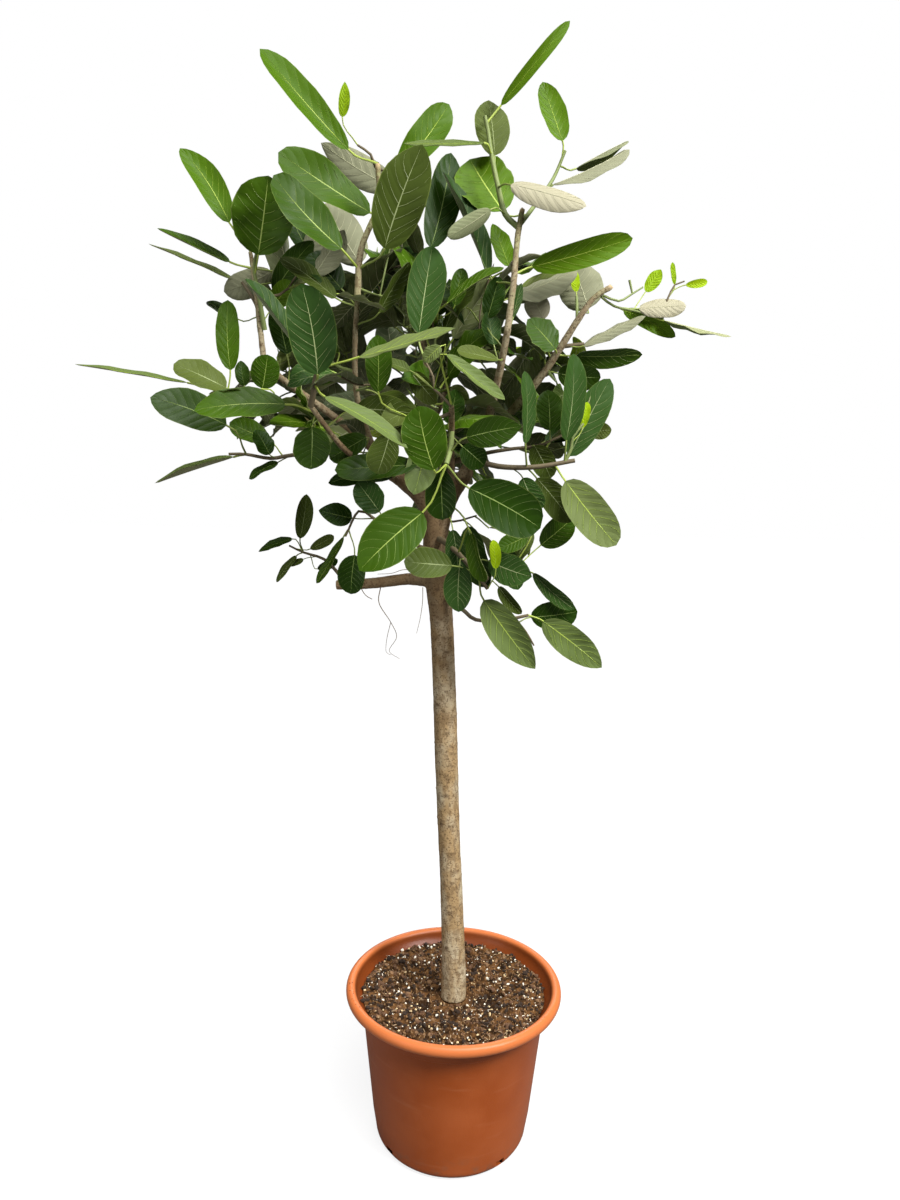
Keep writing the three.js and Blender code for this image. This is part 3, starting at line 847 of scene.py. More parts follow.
aerialRoots = [
    ([(-12.2, -0.6, 88), (-12.4, -0.6, 85.6), (-10.6, -0.9, 82.8), (-9.7, -0.8, 80.6), (-10.8, -0.6, 78.4),
      (-9.2, -0.6, 77.2)], 0.8, 0.3),
    ([(-10.6, -0.9, 82.8), (-11.2, -0.4, 80.2), (-11.3, -0.3, 78.2), (-10.6, -0.6, 77.8)], 0.5, 0.3),
    ([(-5.9, -1.2, 88.2), (-5.9, -1.3, 86), (-6.2, -1.4, 83.6), (-6.7, -1.4, 81.3)], 0.6, 0.3),
    ([(-15.2, -0.8, 88), (-14.4, -0.9, 86.8), (-13.4, -0.9, 86.2)], 0.7, 0.6),
    ([(-6, -1.5, 90.2), (-8.5, -1.6, 90.8), (-10.5, -1.5, 90.2), (-12.6, -1.2, 90)], 0.6, 0.4),
]

# Leaves that give the crown its outline: base and tip in centimetres, width, turn of the upper side away
# from the front and fold along the midrib in degrees, tone

shownLeaves = [
    ((-16.6, -5, 147.4), (-27.5, -9, 158), 4.4, 15, 22, "fresh"),
    ((-17.5, -5, 151.5), (-17, -6, 155.5), 1.6, 15, 20, "young"),
    ((-10.5, 1, 146.5), (-3.5, 3, 156.5), 5, 10, 25, "fresh"),
    ((-13.4, -7, 138.9), (-24.8, -11, 144.9), 5.7, 10, 12, "mid"),
    ((-10.5, 2, 144.5), (-22, 5, 151.8), 4.6, 165, 10, "shadedGrey"),
    ((-16.8, -10, 133.5), (-25, -13, 141.5), 5.6, 20, 16, "mid"),
    ((-15.5, 0, 134), (-21, 3, 143), 6, 170, 10, "shadedGrey"),
    ((-11.2, -10, 133.6), (-6.3, -13, 145.4), 6.8, 10, 12, "dull"),
    ((-5.5, -3, 135.5), (-3, 0, 149), 5, 20, 15, "dark"),
    ((-28.2, -8, 133), (-26.3, -10, 142.4), 8.2, 5, 5, "mid"),
    ((-32.5, -6, 137.6), (-39.3, -5, 147.3), 3.9, 15, 15, "fresh"),
    ((-33, -4, 133), (-43, -4, 137.3), 2.6, 45, 20, "mid"),
    ((-32.5, -2, 131), (-45.3, -1, 136), 1.8, 50, 15, "pale"),
    ((-27.5, -3, 132), (-34.5, -2, 129.5), 4, 160, 10, "shadedGrey"),
    ((-21, -16, 119.5), (-27, -20, 127.5), 4, 60, 30, "blue"),
    ((-18.6, -18, 116.6), (-20, -21, 126.8), 6, 5, 12, "blue"),
    ((-13.5, -18, 118.8), (-1.6, -20, 122.2), 3, -40, 20, "pale"),
    ((-33.2, -4, 118.5), (-33.4, -4, 128), 3.3, 20, 10, "mid"),
    ((-33, -1, 126), (-37.5, 0, 128.5), 2.5, 40, 10, "dark"),
    ((-39.5, -3, 116.8), (-56, -2, 119.2), 1.5, 50, 15, "pale"),
    ((-33.5, -5, 116), (-40.5, -6, 119), 4.5, 25, 15, "dull"),
    ((-33, -7, 110.8), (-42.8, -9, 114.2), 5.6, 12, 8, "dark"),
    ((-23.8, -12, 113.4), (-35, -15, 112.2), 5.2, 20, 14, "mid"),
    ((-27.5, -10, 115.5), (-34, -12, 114.5), 4, 65, 10, "fresh"),
    ((-31.5, -3, 116.5), (-32, -3, 120), 2.1, 20, 10, "dark"),
    ((-28.5, -5, 116), (-27.5, -6, 120.5), 4, 10, 10, "mid"),
    ((-17.8, -18, 114), (-7.2, -19, 107.8), 2.9, -38, 20, "pale"),
    ((-20, -14, 110.5), (-20, -15, 105), 5, 5, 5, "dark"),
    ((-4, -17, 105.2), (-6, -19, 113), 5.8, 5, 10, "mid"),
    ((-33.4, -2, 106.6), (-45, -2, 102.6), 3.4, 62, 22, "pale"),
    ((-27, -2, 106), (-31, -3, 103.5), 2.3, 40, 10, "dark"),
    ((-28, -3, 107), (-30, -3, 110.5), 3, 30, 10, "dark"),
    ((-5.4, -15, 99.8), (-13.4, -17, 92.2), 7, 10, 8, "mid"),
    ((-15, -9, 93.5), (-15.5, -9, 88), 4, 5, 10, "dark"),
    ((-11.5, -10, 99.5), (-14.5, -11, 103.5), 4, 10, 10, "blue"),
    ((-15.5, -8, 98.5), (-20, -9, 99.5), 3.5, 15, 10, "dark"),
    ((-1.5, -11, 92.5), (-8, -12, 93), 4.5, 15, 10, "dull"),
    ((-0.5, -10, 92.5), (-0.5, -10, 86), 4, 5, 10, "blue"),
    ((0.5, -13, 103), (10, -14, 98), 6.5, 10, 5, "dark"),
    ((13.8, -7, 104.2), (20.9, -9, 95.6), 5.4, 10, 12, "pale"),
    ((3, -6, 87.2), (10.6, -7, 77.6), 5, 10, 12, "pale"),
    ((11.6, -5, 84.2), (20.2, -6, 77.8), 4.6, 15, 12, "pale"),
    ((10, -3, 84.4), (16.6, -4.4, 85.6), 4.4, 12, 12, "dark"),
    ((10, -4, 91), (16, -5, 86), 2.5, 35, 20, "blue"),
    ((5.2, -3, 88.8), (8.6, -4, 85), 2, 30, 15, "dull"),
    ((-21, -6, 131), (-17, -6, 137), 4.2, 160, 10, "shadedGrey"),
    ((-24, -3, 132), (-20.5, -2, 138.5), 4.6, 165, 12, "shadedGrey"),
    ((3.5, -8, 93), (9.5, -9, 91), 4.5, 15, 10, "blue"),
    ((4.5, -9, 92), (4, -9, 96), 1.7, 10, 20, "young"),
    ((1, -11, 97), (3, -12, 90.5), 3, 45, 35, "mid"),
    ((13.6, -8, 109.6), (14, -9, 121), 3.6, 15, 22, "blue"),
    ((14.4, -5, 107.6), (19.8, -4, 118.4), 4.6, 15, 10, "blue"),
    ((16, -6, 111.5), (16.5, -6, 115), 1.4, 10, 20, "young"),
    ((0, -14, 109.5), (7, -15, 111), 4, 20, 10, "dark"),
    ((-2.8, -15, 119.8), (4.8, -16, 114.2), 2.5, -32, 22, "pale"),
    ((15, -3, 121.5), (24.5, -2, 122), 3.5, 60, 15, "mid"),
    ((12.5, -4, 119), (18.5, -4, 118.5), 4, 40, 15, "dark"),
    ((24.5, -2, 130.5), (26.5, -2, 133.5), 2, 10, 10, "young"),
    ((23.5, -3, 128), (30, -3, 128.5), 3, 170, 5, "grey"),
    ((28.5, -2, 131.5), (28, -2, 134.5), 0.8, 10, 10, "young"),
    ((30, -2, 131.5), (33, -2, 132), 1.2, 20, 10, "young"),
    ((21.5, -2, 128), (29, -2, 124.5), 2.3, 30, 15, "fresh"),
    ((27, -3, 126.5), (36.5, -3, 124.5), 3.5, 110, 20, "pale"),
    ((15.8, -4.4, 122.6), (24.2, -4.4, 126.8), 2.4, 150, 25, "shadedGrey"),
    ((17, 1, 128.6), (14.5, 2, 134.8), 6.4, 170, 5, "shadedGrey"),
    ((15, -1, 130.5), (14.5, -1, 133.5), 1.4, 10, 10, "young"),
    ((8.2, -7, 132.4), (21.3, -8, 136), 3.9, 32, 26, "fresh"),
    ((6, -4, 129.2), (14.8, -3, 133), 4.4, 150, 15, "shadedGrey"),
    ((5, -8, 142.4), (14.8, -10, 139.3), 4.2, 165, 15, "grey"),
    ((11, -2, 144.3), (21.7, 0, 149.8), 3.4, 138, 25, "shadedGrey"),
    ((14.5, 1, 147.5), (22, 3, 152), 3, 100, 25, "dull"),
    ((12.2, -2, 150), (9.2, -2, 157.5), 3.7, 10, 10, "fresh"),
    ((3.6, -3, 154), (12.4, -4, 164.2), 2.1, 20, 36, "fresh"),
    ((3, -2, 148), (2, -1, 155.5), 5, 10, 5, "dull"),
    ((1.5, -6, 148.2), (-9.2, -6, 148), 1.7, 30, 12, "pale"),
    ((4.4, -2, 140.8), (-0.4, 0, 148.2), 8.2, 10, 6, "fresh"),
    ((2.5, -9, 139), (-3, -11, 135), 2.4, 150, 20, "dull"),
    ((2.5, -4, 132), (-4, -3, 145.5), 4.5, 50, 35, "blue"),
    ((5.5, 0, 134), (3, 1, 140), 3, 10, 10, "fresh"),
    ((-6.6, -9, 123.2), (-5, -9, 134.4), 5.2, 10, 16, "blue"),
    ((-3, -7, 127.5), (4.5, -8, 132), 2.5, -40, 25, "mid"),
    ((-14.5, -12, 113), (-7, -13, 112.5), 4, 20, 10, "dull"),
    ((-6.5, -10, 106), (-17.5, -11, 105), 4, 15, 10, "dark"),
    ((-10, -13, 109.8), (-11.5, -14, 104.6), 4.6, 20, 12, "dull"),
    ((-3.5, -8, 105.5), (-3, -8, 98.5), 4.5, 10, 10, "dark"),
    ((-13.5, -9, 109.5), (-18.5, -9, 106.5), 4, 15, 10, "dark"),
    ((11.5, -6, 111), (11, -6, 116.5), 4, 10, 10, "dark"),
    ((10, -5, 104.5), (15, -6, 98.5), 4, 15, 10, "dull"),
    ((11, -4, 95), (15.5, -4, 99), 4, 15, 10, "mid"),
    ((8, -6, 104.5), (10.5, -6, 100), 3.5, 15, 10, "blue"),
    ((17.5, -3, 111), (20.5, -3, 111.5), 2.4, 20, 10, "dull"),
    ((9.5, -5, 109), (12, -5, 104.5), 3.5, 20, 10, "dull"),
    ((-0.5, -10, 108.5), (2.5, -11, 106), 3.5, 15, 10, "dark"),
    ((9, -5, 96.5), (5, -5, 94.5), 3, 15, 10, "mid"),
    ((-17.5, -5, 129.5), (-22, -5, 134), 5, 20, 10, "dark"),
    ((-18, -6.5, 128), (-25.5, -7, 133), 3.5, 30, 10, "dull"),
    ((-27, -4, 129), (-21.5, -4, 136), 3.5, 20, 10, "dark"),
    ((-27, -5, 127), (-24.5, -5, 130.5), 3, 10, 10, "fresh"),
    ((-17.5, -9, 128), (-11, -10, 126), 4, -75, 10, "pale"),
    ((-12, -8, 126), (-8, -8, 132.5), 3, 60, 15, "dull"),
    ((-11.5, -14, 115), (-11.5, -15, 122), 3.5, 10, 10, "mid"),
    ((2.5, -5, 126), (4, -5, 131.5), 3, 15, 10, "dark"),
    ((3.5, -5, 122.5), (2.5, -5, 127), 3, 20, 10, "blue"),
    ((10.5, -2, 126.5), (8.5, -2, 130), 3.5, 165, 10, "grey"),
    ((12, -5, 122), (8, -5, 126), 4.5, 15, 10, "mid"),
    ((6, -6, 126), (7, -6, 130.5), 1.7, 50, 10, "blue"),
    ((-2, -3, 128), (-1, -3, 133), 2.4, 20, 10, "mid"),
    ((4, -9, 120), (-1.5, -10, 121), 2.5, 30, 10, "dull"),
    ((-7.5, -10, 118), (-4, -11, 114), 3, 30, 10, "dull"),
    ((-2.5, -9, 111.5), (-1.5, -10, 116), 3, 15, 10, "dark"),
    ((8, -9, 109), (7.5, -10, 118.5), 2.5, 35, 15, "blue"),
    ((-3.5, -17, 120.5), (-5.5, -17, 118.5), 2.4, 20, 10, "pale"),
    ((-7.5, -12, 118), (-11, -12, 119), 2.1, 30, 10, "dull"),
    ((-24, -1.5, 95), (-23, -1.5, 101.5), 2.5, 15, 10, "dull"),
    ((-25, -2, 95), (-30, -2, 93), 1.7, 30, 10, "dark"),
    ((-22.5, -1.5, 93.5), (-19, -1.5, 95.5), 1.7, 30, 10, "dull"),
    ((-24.5, -1.5, 92.5), (-27.5, -1.5, 88.5), 1.5, 30, 10, "dull"),
    ((-23.5, -1.5, 92), (-25.5, -1.5, 91), 1.2, 30, 10, "dull"),
    ((-17.5, -2, 95.5), (-21.5, -2, 88.5), 1.8, 35, 20, "mid"),
    ((-21.5, -1, 90.5), (-18.5, -1, 92), 1.5, 30, 10, "dark"),
    ((0.5, -4, 97.5), (3.5, -6, 89), 4.6, 30, 15, "dark"),
    ((5.5, -3, 95), (8, -4, 88.5), 3.4, 20, 10, "blue"),
    ((-29, 0, 109.2), (-34.5, 0, 111.6), 3.8, 20, 10, "mid"),
    ((-22.5, -1, 135), (-25.5, -1, 141), 3.6, 20, 10, "dark"),
    ((-26.2, 1, 121.5), (-27.6, 0, 128.5), 3.6, 20, 10, "dark"),
    ((-1.6, -4.5, 97), (-0.6, -5, 90.5), 3.2, 20, 10, "blue"),
    ((-10, -6, 104.5), (-19, -7, 103.2), 3.4, 25, 10, "dark"),
]


# Leaf tones: upper side in two shades, underside, edge and veins

tones = {
    "fresh": dict(upper=((0.078, 0.160, 0.001), (0.060, 0.132, 0.001)), under=(0.24, 0.30, 0.08), rough=0.5),
    "young": dict(upper=((0.32, 0.47, 0.003), (0.25, 0.40, 0.004)), under=(0.34, 0.46, 0.05), rough=0.5),
    "mid": dict(upper=((0.042, 0.094, 0.001), (0.032, 0.076, 0.001)), under=(0.20, 0.23, 0.09), rough=0.48),
    "dark": dict(upper=((0.015, 0.042, 0.001), (0.023, 0.054, 0.002)), under=(0.11, 0.13, 0.05), rough=0.44),
    "dull": dict(upper=((0.076, 0.104, 0.014), (0.058, 0.086, 0.010)), under=(0.18, 0.20, 0.10), rough=0.54),
    "blue": dict(upper=((0.034, 0.080, 0.013), (0.028, 0.068, 0.011)), under=(0.17, 0.21, 0.11), rough=0.46),
    "pale": dict(upper=((0.140, 0.180, 0.055), (0.112, 0.156, 0.042)), under=(0.26, 0.28, 0.13), rough=0.54),
    "grey": dict(upper=((0.066, 0.098, 0.014), (0.052, 0.084, 0.014)), under=(0.37, 0.345, 0.235), rough=0.6),
    # a shaded copy of grey: the same upper side, with the underside painted darker as shade for leaves that sit
    # in shadow
    "shadedGrey": dict(upper=((0.066, 0.098, 0.014), (0.052, 0.084, 0.014)), under=(0.24, 0.245, 0.150), rough=0.6),
}
edgeColour = (0.26, 0.32, 0.08)
veinColours = dict(fresh=(0.42, 0.54, 0.07), plain=(0.34, 0.44, 0.09), deep=(0.24, 0.33, 0.08),
                   cool=(0.36, 0.42, 0.18), under=(0.46, 0.46, 0.28))

blade = dict(
    rows=12, columns=(-1, -0.965, -0.5, 0, 0.5, 0.965, 1), underColumns=(0.965, 0.5, 0, -0.5, -0.965),
    thickness=0.8 * mm, baseRoundness=2.3, baseFullness=0.56,
    veinPairs=6, veinLift=0.35 * mm, midribHalf=0.0082, veinHalf=0.0030, aspect=0.22,
)


def bladeGrid():
    # places along and across the unit blade, its faces and their slots: upper 0, edge 1, underside 2
    rows = blade["rows"]
    steps = [0.4 * i / rows + 0.6 * (0.5 - 0.5 * math.cos(math.pi * i / rows)) for i in range(rows + 1)]
    ring = list(blade["columns"]) + list(blade["underColumns"])
    under = [0] * len(blade["columns"]) + [1] * len(blade["underColumns"])
    places = [(0, 0, 0)]
    for u in steps[1:-1]:
        places += [(u, v, low) for v, low in zip(ring, under)]
    places.append((1, 0, 0))
    count, last = len(ring), len(places) - 1
    faces, slots = [], []
    for k in range(count):
        following = (k + 1) % count
        slot = 1 if k in (0, 5) else 0 if k < 6 else 2
        faces.append((0, 1 + k, 1 + following))
        slots.append(slot)
        for i in range(rows - 2):
            a = 1 + i * count
            face = (a + k, a + count + k, a + count + following, a + following)
            if k >= count // 2:                      # both sides split along the same diagonal
                face = face[3:] + face[:3]
            faces.append(face)
            slots.append(slot)
        end = 1 + (rows - 2) * count
        faces.append((end + k, last, end + following))
        slots.append(slot)
    return np.array(places, dtype=float), faces, slots, steps


bladePlaces, bladeFaces, bladeSlots, bladeSteps = bladeGrid()


def gridWeights(u, v, below):
    # the corners of the blade's grid round a place on it, and their shares
    rows, count = blade["rows"], len(blade["columns"]) + len(blade["underColumns"])
    row = max(0, min(rows - 1, sum(1 for s in bladeSteps if s <= u) - 1))
    down = (u - bladeSteps[row]) / (bladeSteps[row + 1] - bladeSteps[row])
    if below:
        columns, numbers = list(blade["columns"]), [0, 11, 10, 9, 8, 7, 6]
    else:
        columns, numbers = list(blade["columns"]), list(range(7))
    column = max(0, min(len(columns) - 2, sum(1 for c in columns if c <= v) - 1))
    across = (v - columns[column]) / (columns[column + 1] - columns[column])

    def corner(i, k):
        return 0 if i == 0 else len(bladePlaces) - 1 if i == rows else 1 + (i - 1) * count + numbers[k]

    return [(corner(row, column), (1 - down) * (1 - across)), (corner(row, column + 1), (1 - down) * across),
            (corner(row + 1, column), down * (1 - across)), (corner(row + 1, column + 1), down * across)]


def veinNet(below):
    # every vein is a low ridge of three points a step; gives the weights, the lifts and the faces
    weights, lifts, faces = [], [], []

    def addRidge(route, halfStart, halfEnd, height):
        first = len(weights)
        for i, (u, v) in enumerate(route):
            ahead, behind = route[min(i + 1, len(route) - 1)], route[max(i - 1, 0)]
            du, dv = ahead[0] - behind[0], (ahead[1] - behind[1]) * blade["aspect"]
            size = math.hypot(du, dv)
            half = halfStart + (halfEnd - halfStart) * i / (len(route) - 1)
            sideU, sideV = -dv / size * half, du / size * half / blade["aspect"]
            for step, lift in ((1, -0.2), (0, height), (-1, -0.2)):
                place = (min(0.995, max(0.003, u + step * sideU)), max(-0.97, min(0.97, v + step * sideV)))
                weights.append(gridWeights(*place, below))
                lifts.append(lift)
        for i in range(len(route) - 1):
            a = first + 3 * i
            for k in (0, 1):
                face = (a + k, a + k + 1, a + k + 4, a + k + 3)
                faces.append(face if not below else tuple(reversed(face)))

    ribHalf = blade["midribHalf"]
    addRidge([(0.004 + 0.95 * i / 8, 0) for i in range(9)], ribHalf, ribHalf * 0.28, 1)
    midribFaces = len(faces)
    for i in range(blade["veinPairs"]):
        for side in (-1, 1):
            start = 0.04 + 0.122 * i + (0.03 if side > 0 else 0)
            run = 0.30 if i == 0 else 0.24
            route = [(start + run * t ** 1.3, side * 0.92 * t) for t in (0.01, 0.27, 0.53, 0.78, 1)]
            addRidge(route, blade["veinHalf"], blade["veinHalf"] * 0.45, 0.7)
    matrix = np.zeros((len(weights), len(bladePlaces)))
    for i, corners in enumerate(weights):
        for number, share in corners:
            matrix[i, number] += share
    return matrix, np.array(lifts), faces, midribFaces


upperVeins, underVeins = veinNet(False), veinNet(True)


class Leaf:
    def __init__(self, base, tip, width, facing, tone, rng, fold=10, calm=1.0):
        self.base, self.tip, self.width, self.tone = base, tip, width, tone
        self.length = (tip - base).length
        self.axis = (tip - base).normalized()
        self.face = (facing - self.axis * facing.dot(self.axis)).normalized()
        self.fold = math.radians(fold)
        self.shade = rng.randrange(2)
        self.arch = rng.uniform(-0.01, 0.09) * calm
        self.curl = rng.uniform(-0.02, 0.13) * calm
        self.sway = rng.uniform(-0.06, 0.06) * calm
        self.twist = rng.uniform(-0.7, 0.7) * calm
        self.wave = rng.uniform(0.03, 0.26) * calm
        self.waves = rng.uniform(1.2, 3.2)
        self.phases = (rng.uniform(0, 6), rng.uniform(0, 6))
        self.cup = rng.uniform(-0.16, 0.26) * calm
        self.lean = rng.uniform(-0.16, 0.05)         # widest nearer the base or the tip
        self.point = rng.random() ** 1.6             # 0 a blunt tip, 1 a pointed one

    def spots(self):     # a few places along the blade, to keep leaves apart
        return [self.base.lerp(self.tip, share) for share in (0.2, 0.5, 0.8)]

    def corners(self):
        u, v, below = bladePlaces[:, 0], bladePlaces[:, 1], bladePlaces[:, 2]
        shifted = np.clip(u + self.lean * u * (1 - u) * 2, 0, 1)
        nearTip = shifted > 0.5
        roundness = np.where(nearTip, 2.6 - 0.7 * self.point, blade["baseRoundness"])
        fullness = np.where(nearTip, 0.54 + 0.36 * self.point, blade["baseFullness"])
        half = self.width / 2 * (1 - np.abs(2 * shifted - 1) ** roundness) ** fullness
        across = v * half
        swell = np.sin(np.pi * np.clip(u, 0.02, 0.98))
        fold = self.fold * (0.45 + 0.55 * swell)
        y = across * np.cos(fold)
        z = np.abs(across) * np.sin(fold) + self.cup * half * v ** 2
        phase = np.where(v < 0, self.phases[0], self.phases[1])
        z += self.wave * half * np.abs(v) ** 2.5 * np.sin(math.tau * self.waves * u + phase)
        turn = self.twist * (u - 0.4)
        y, z = y * np.cos(turn) - z * np.sin(turn), y * np.sin(turn) + z * np.cos(turn)
        bow = 4 * u * (1 - u)
        y = y + self.sway * self.length * bow
        hook = 2.6 * (u - u ** 3)
        z = z + (self.arch * bow + self.curl * hook) * self.length - below * blade["thickness"]
        sideways = self.face.cross(self.axis)
        return (np.array(self.base) + np.outer(u * self.length, self.axis)
                + np.outer(y, sideways) + np.outer(z, self.face))

    def veins(self, net, corners, below):
        matrix, lifts, faces, midribFaces = net
        out = np.array(self.face) * (-1 if below else 1) * blade["veinLift"]
        return matrix @ corners + np.outer(lifts, out), faces, midribFaces


leaves, petioles = [], []       # petioles: line and radius
wood = []                       # growing points of the skeleton, with the radius there
twigTubes = dict(green=Bundle(), brown=Bundle())
sheaths = Bundle()


def rememberWood(line, thick):
    for i, place in enumerate(line):
        wood.append((place, along(thick, i / (len(line) - 1))))


def nearestWood(place, reserve=0.0):
    return min(wood, key=lambda spot: (spot[0] - place).length + reserve * max(0, spot[0].z - place.z))


def addTwig(line, thick, kind, sides=7):
    twigTubes[kind].add(*sweep(line, thick, sides))
    rememberWood(line, thick)


def growWood():
    for name, (line, thick) in limbs.items():
        rounded = smoothLine([Vector(p) * cm for p in line], bark["step"])
        if name != "trunk":
            rememberWood(rounded, [r * mm for r in thick])
    for line, start, end, kind in shownTwigs:
        addTwig(smoothLine([Vector(p) * cm for p in line], 1 * cm), [start * mm, end * mm], kind, 9)


def petioleLine(start, end, leave, arrive):
    # a stalk that leaves the twig one way and meets the blade another
    reach = (end - start).length
    a, b = start + leave * reach * 0.4, end - arrive * reach * 0.4
    return [((1 - t) ** 3) * start + 3 * t * (1 - t) ** 2 * a + 3 * t * t * (1 - t) * b + t ** 3 * end
            for t in (0, 0.25, 0.5, 0.75, 1)]


def growShownLeaves(rng):
    rows = []
    for base, tip, width, turn, fold, tone in shownLeaves:
        base, tip = Vector(base) * cm, Vector(tip) * cm
        rows.append((base, tip, width * cm, turn, fold, tone))
    rows.sort(key=lambda row: (nearestWood(row[0])[0] - row[0]).length)
    front = Vector((0, -1, 0.25))
    for base, tip, width, turn, fold, tone in rows:
        axis = (tip - base).normalized()
        facing = (front - axis * front.dot(axis)).normalized()
        facing = Matrix.Rotation(math.radians(turn), 3, axis) @ facing
        leaf = Leaf(base, tip, width, facing, tone, rng, fold, calm=0.55)
        leaf.arch, leaf.curl = rng.uniform(-0.02, 0.03), rng.uniform(-0.02, 0.04)
        if turn > 40:                        # seen nearly edge on
            leaf.arch, leaf.curl = leaf.arch * 0.4, 0
        leaves.append(leaf)
        place, radius = nearestWood(base - axis * 2.5 * cm)
        gap = (base - place).length
        if gap > 7 * cm:                     # too far for a stalk: a twig grows out first
            end = place.lerp(base, 1 - 3.5 * cm / gap) - axis * 0.5 * cm
            wander = Vector((rng.uniform(-1, 1), rng.uniform(-1, 1), rng.uniform(-0.5, 1)))
            middle = place.lerp(end, 0.5) + wander * cm
            thick = min(radius, 1.6 * mm + gap * 0.012)
            addTwig(smoothLine([place, middle, end], 1.2 * cm), [thick, 1.5 * mm], "brown")
            place = end
        leave = (base - place).normalized()
        size = min(1.5 * mm, 0.5 * mm + leaf.length * 0.009)
        petioles.append((petioleLine(place, base + axis * 1 * mm, leave, axis), size, tone))


massShapes = {}
for name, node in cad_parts.items():
    if name.startswith("mass_"):
        corners = [v.co for v in node.data.vertices]
        massShapes[name] = BVHTree.FromPolygons(corners, [tuple(f.vertices) for f in node.data.polygons])


def depthIn(shape, place):      # how deep a place lies inside a mass; below zero outside it
    distance = shape.find_nearest(place)[3]
    walls, spot, ahead = 0, place, Vector((0.13, 0.21, 0.97))
    while spot is not None:                  # an odd number of walls lies ahead of a place inside
        hit = shape.ray_cast(spot, ahead)[0]
        walls += hit is not None
        spot = None if hit is None else hit + ahead * 0.01 * mm
    return distance if walls % 2 else -distance


def insideCrown(place, margin):
    return any(depthIn(shape, place) > -margin for shape in massShapes.values())


# How many leafy shoots each mass holds, besides the leaves above

shootCounts = dict(
    mass_core_left=24, mass_core_right=26, mass_core_front=14, mass_core_back=22, mass_core_top=16,
    mass_left=2,
    mass_low_centre=1, mass_low_right=1, mass_low_back=10, mass_back_low=8, mass_back_tip=6, mass_back_top=12,
    mass_front_top=1,
)
shoot = dict(
    leaves=(6, 9), spacing=(1.5, 2.4), stalk=(2.2, 4.6), length=(8.5, 14.5), slender=(0.40, 0.54),
    apart=1.75 * cm, outside=0.4 * cm, turn=137.5,
    tones=("dark",) * 8 + ("mid",) * 6 + ("dull",) * 2 + ("blue",) * 3 + ("fresh",) * 2 + ("pale", "shadedGrey"),
)
crownMiddle = Vector((-7, 2, 114)) * cm
# where the background shows between the leaves: across, up and half width in centimetres
skyGaps = [(23, 127, 4.6), (-43, 118, 2.7), (1, 100, 2.9), (6, 107, 2.4), (16, 105, 2.7), (-3, 136, 3.3),
           (-14, 139, 2.8), (-27, 108, 2.1), (-32, 124, 3), (13, 91, 3.1), (-11, 102, 2.6), (13, 127, 2.5),
           (25, 116, 3.4)]
leafLow, leafHigh = (np.array(corner) for corner in cadBox)


def tooClose(spots, placed):
    if not len(placed):
        return False
    taken = np.array(placed)
    near = 0
    for spot in spots:
        near += int((np.linalg.norm(taken - np.array(spot), axis=1) < shoot["apart"]).sum())
    return near > 1


def hidesShown(spots, shown):
    # true where a new leaf would stand between the camera and one of the leaves above
    eye = cameraView["place"]
    for spot in spots:
        for there in shown:
            if spot.y > there.y - 0.4 * cm:
                continue
            share = (spot.y - eye.y) / (there.y - eye.y)
            if (eye.lerp(there, share) - spot).length < 3.2 * cm:
                return True
    return False


def blocksSky(corners):
    # true where much of a leaf would stand in one of the gaps, seen from the camera
    eye = np.array(cameraView["place"])
    share = eye[1] / (eye[1] - corners[:, 1])
    across = eye[0] + (corners[:, 0] - eye[0]) * share
    height = eye[2] + (corners[:, 2] - eye[2]) * share
    for x, z, reach in skyGaps:
        inside = np.hypot(across - x * cm, height - z * cm) < reach * cm
        if inside.mean() > 0.06:
            return True
    return False


def pickTip(shape, box, tips, rng):
    low, high = box
    best, bestRoom = None, -1
    for _ in range(40):
        place = Vector([rng.uniform(a, b) for a, b in zip(low, high)])
        depth = depthIn(shape, place)
        if depth < 0.4 * cm:
            continue
        room = min([(place - tip).length for tip in tips] + [20 * cm]) - 1.2 * depth
        if room > bestRoom:
            best, bestRoom = place, room
    return best


def growShoots(rng):
    shown = [spot for leaf in leaves for spot in leaf.spots()]
    placed = [tuple(spot) for spot in shown]
    tips = []
    for name, count in shootCounts.items():
        for _ in range(count):
            tip = pickTip(massShapes[name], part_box(name), tips, rng)
            if tip is not None:
                tips.append(tip)
    tips.sort(key=lambda tip: (tip - crownMiddle).length)
    for tip in tips:
        growShoot(tip, shown, placed, rng)


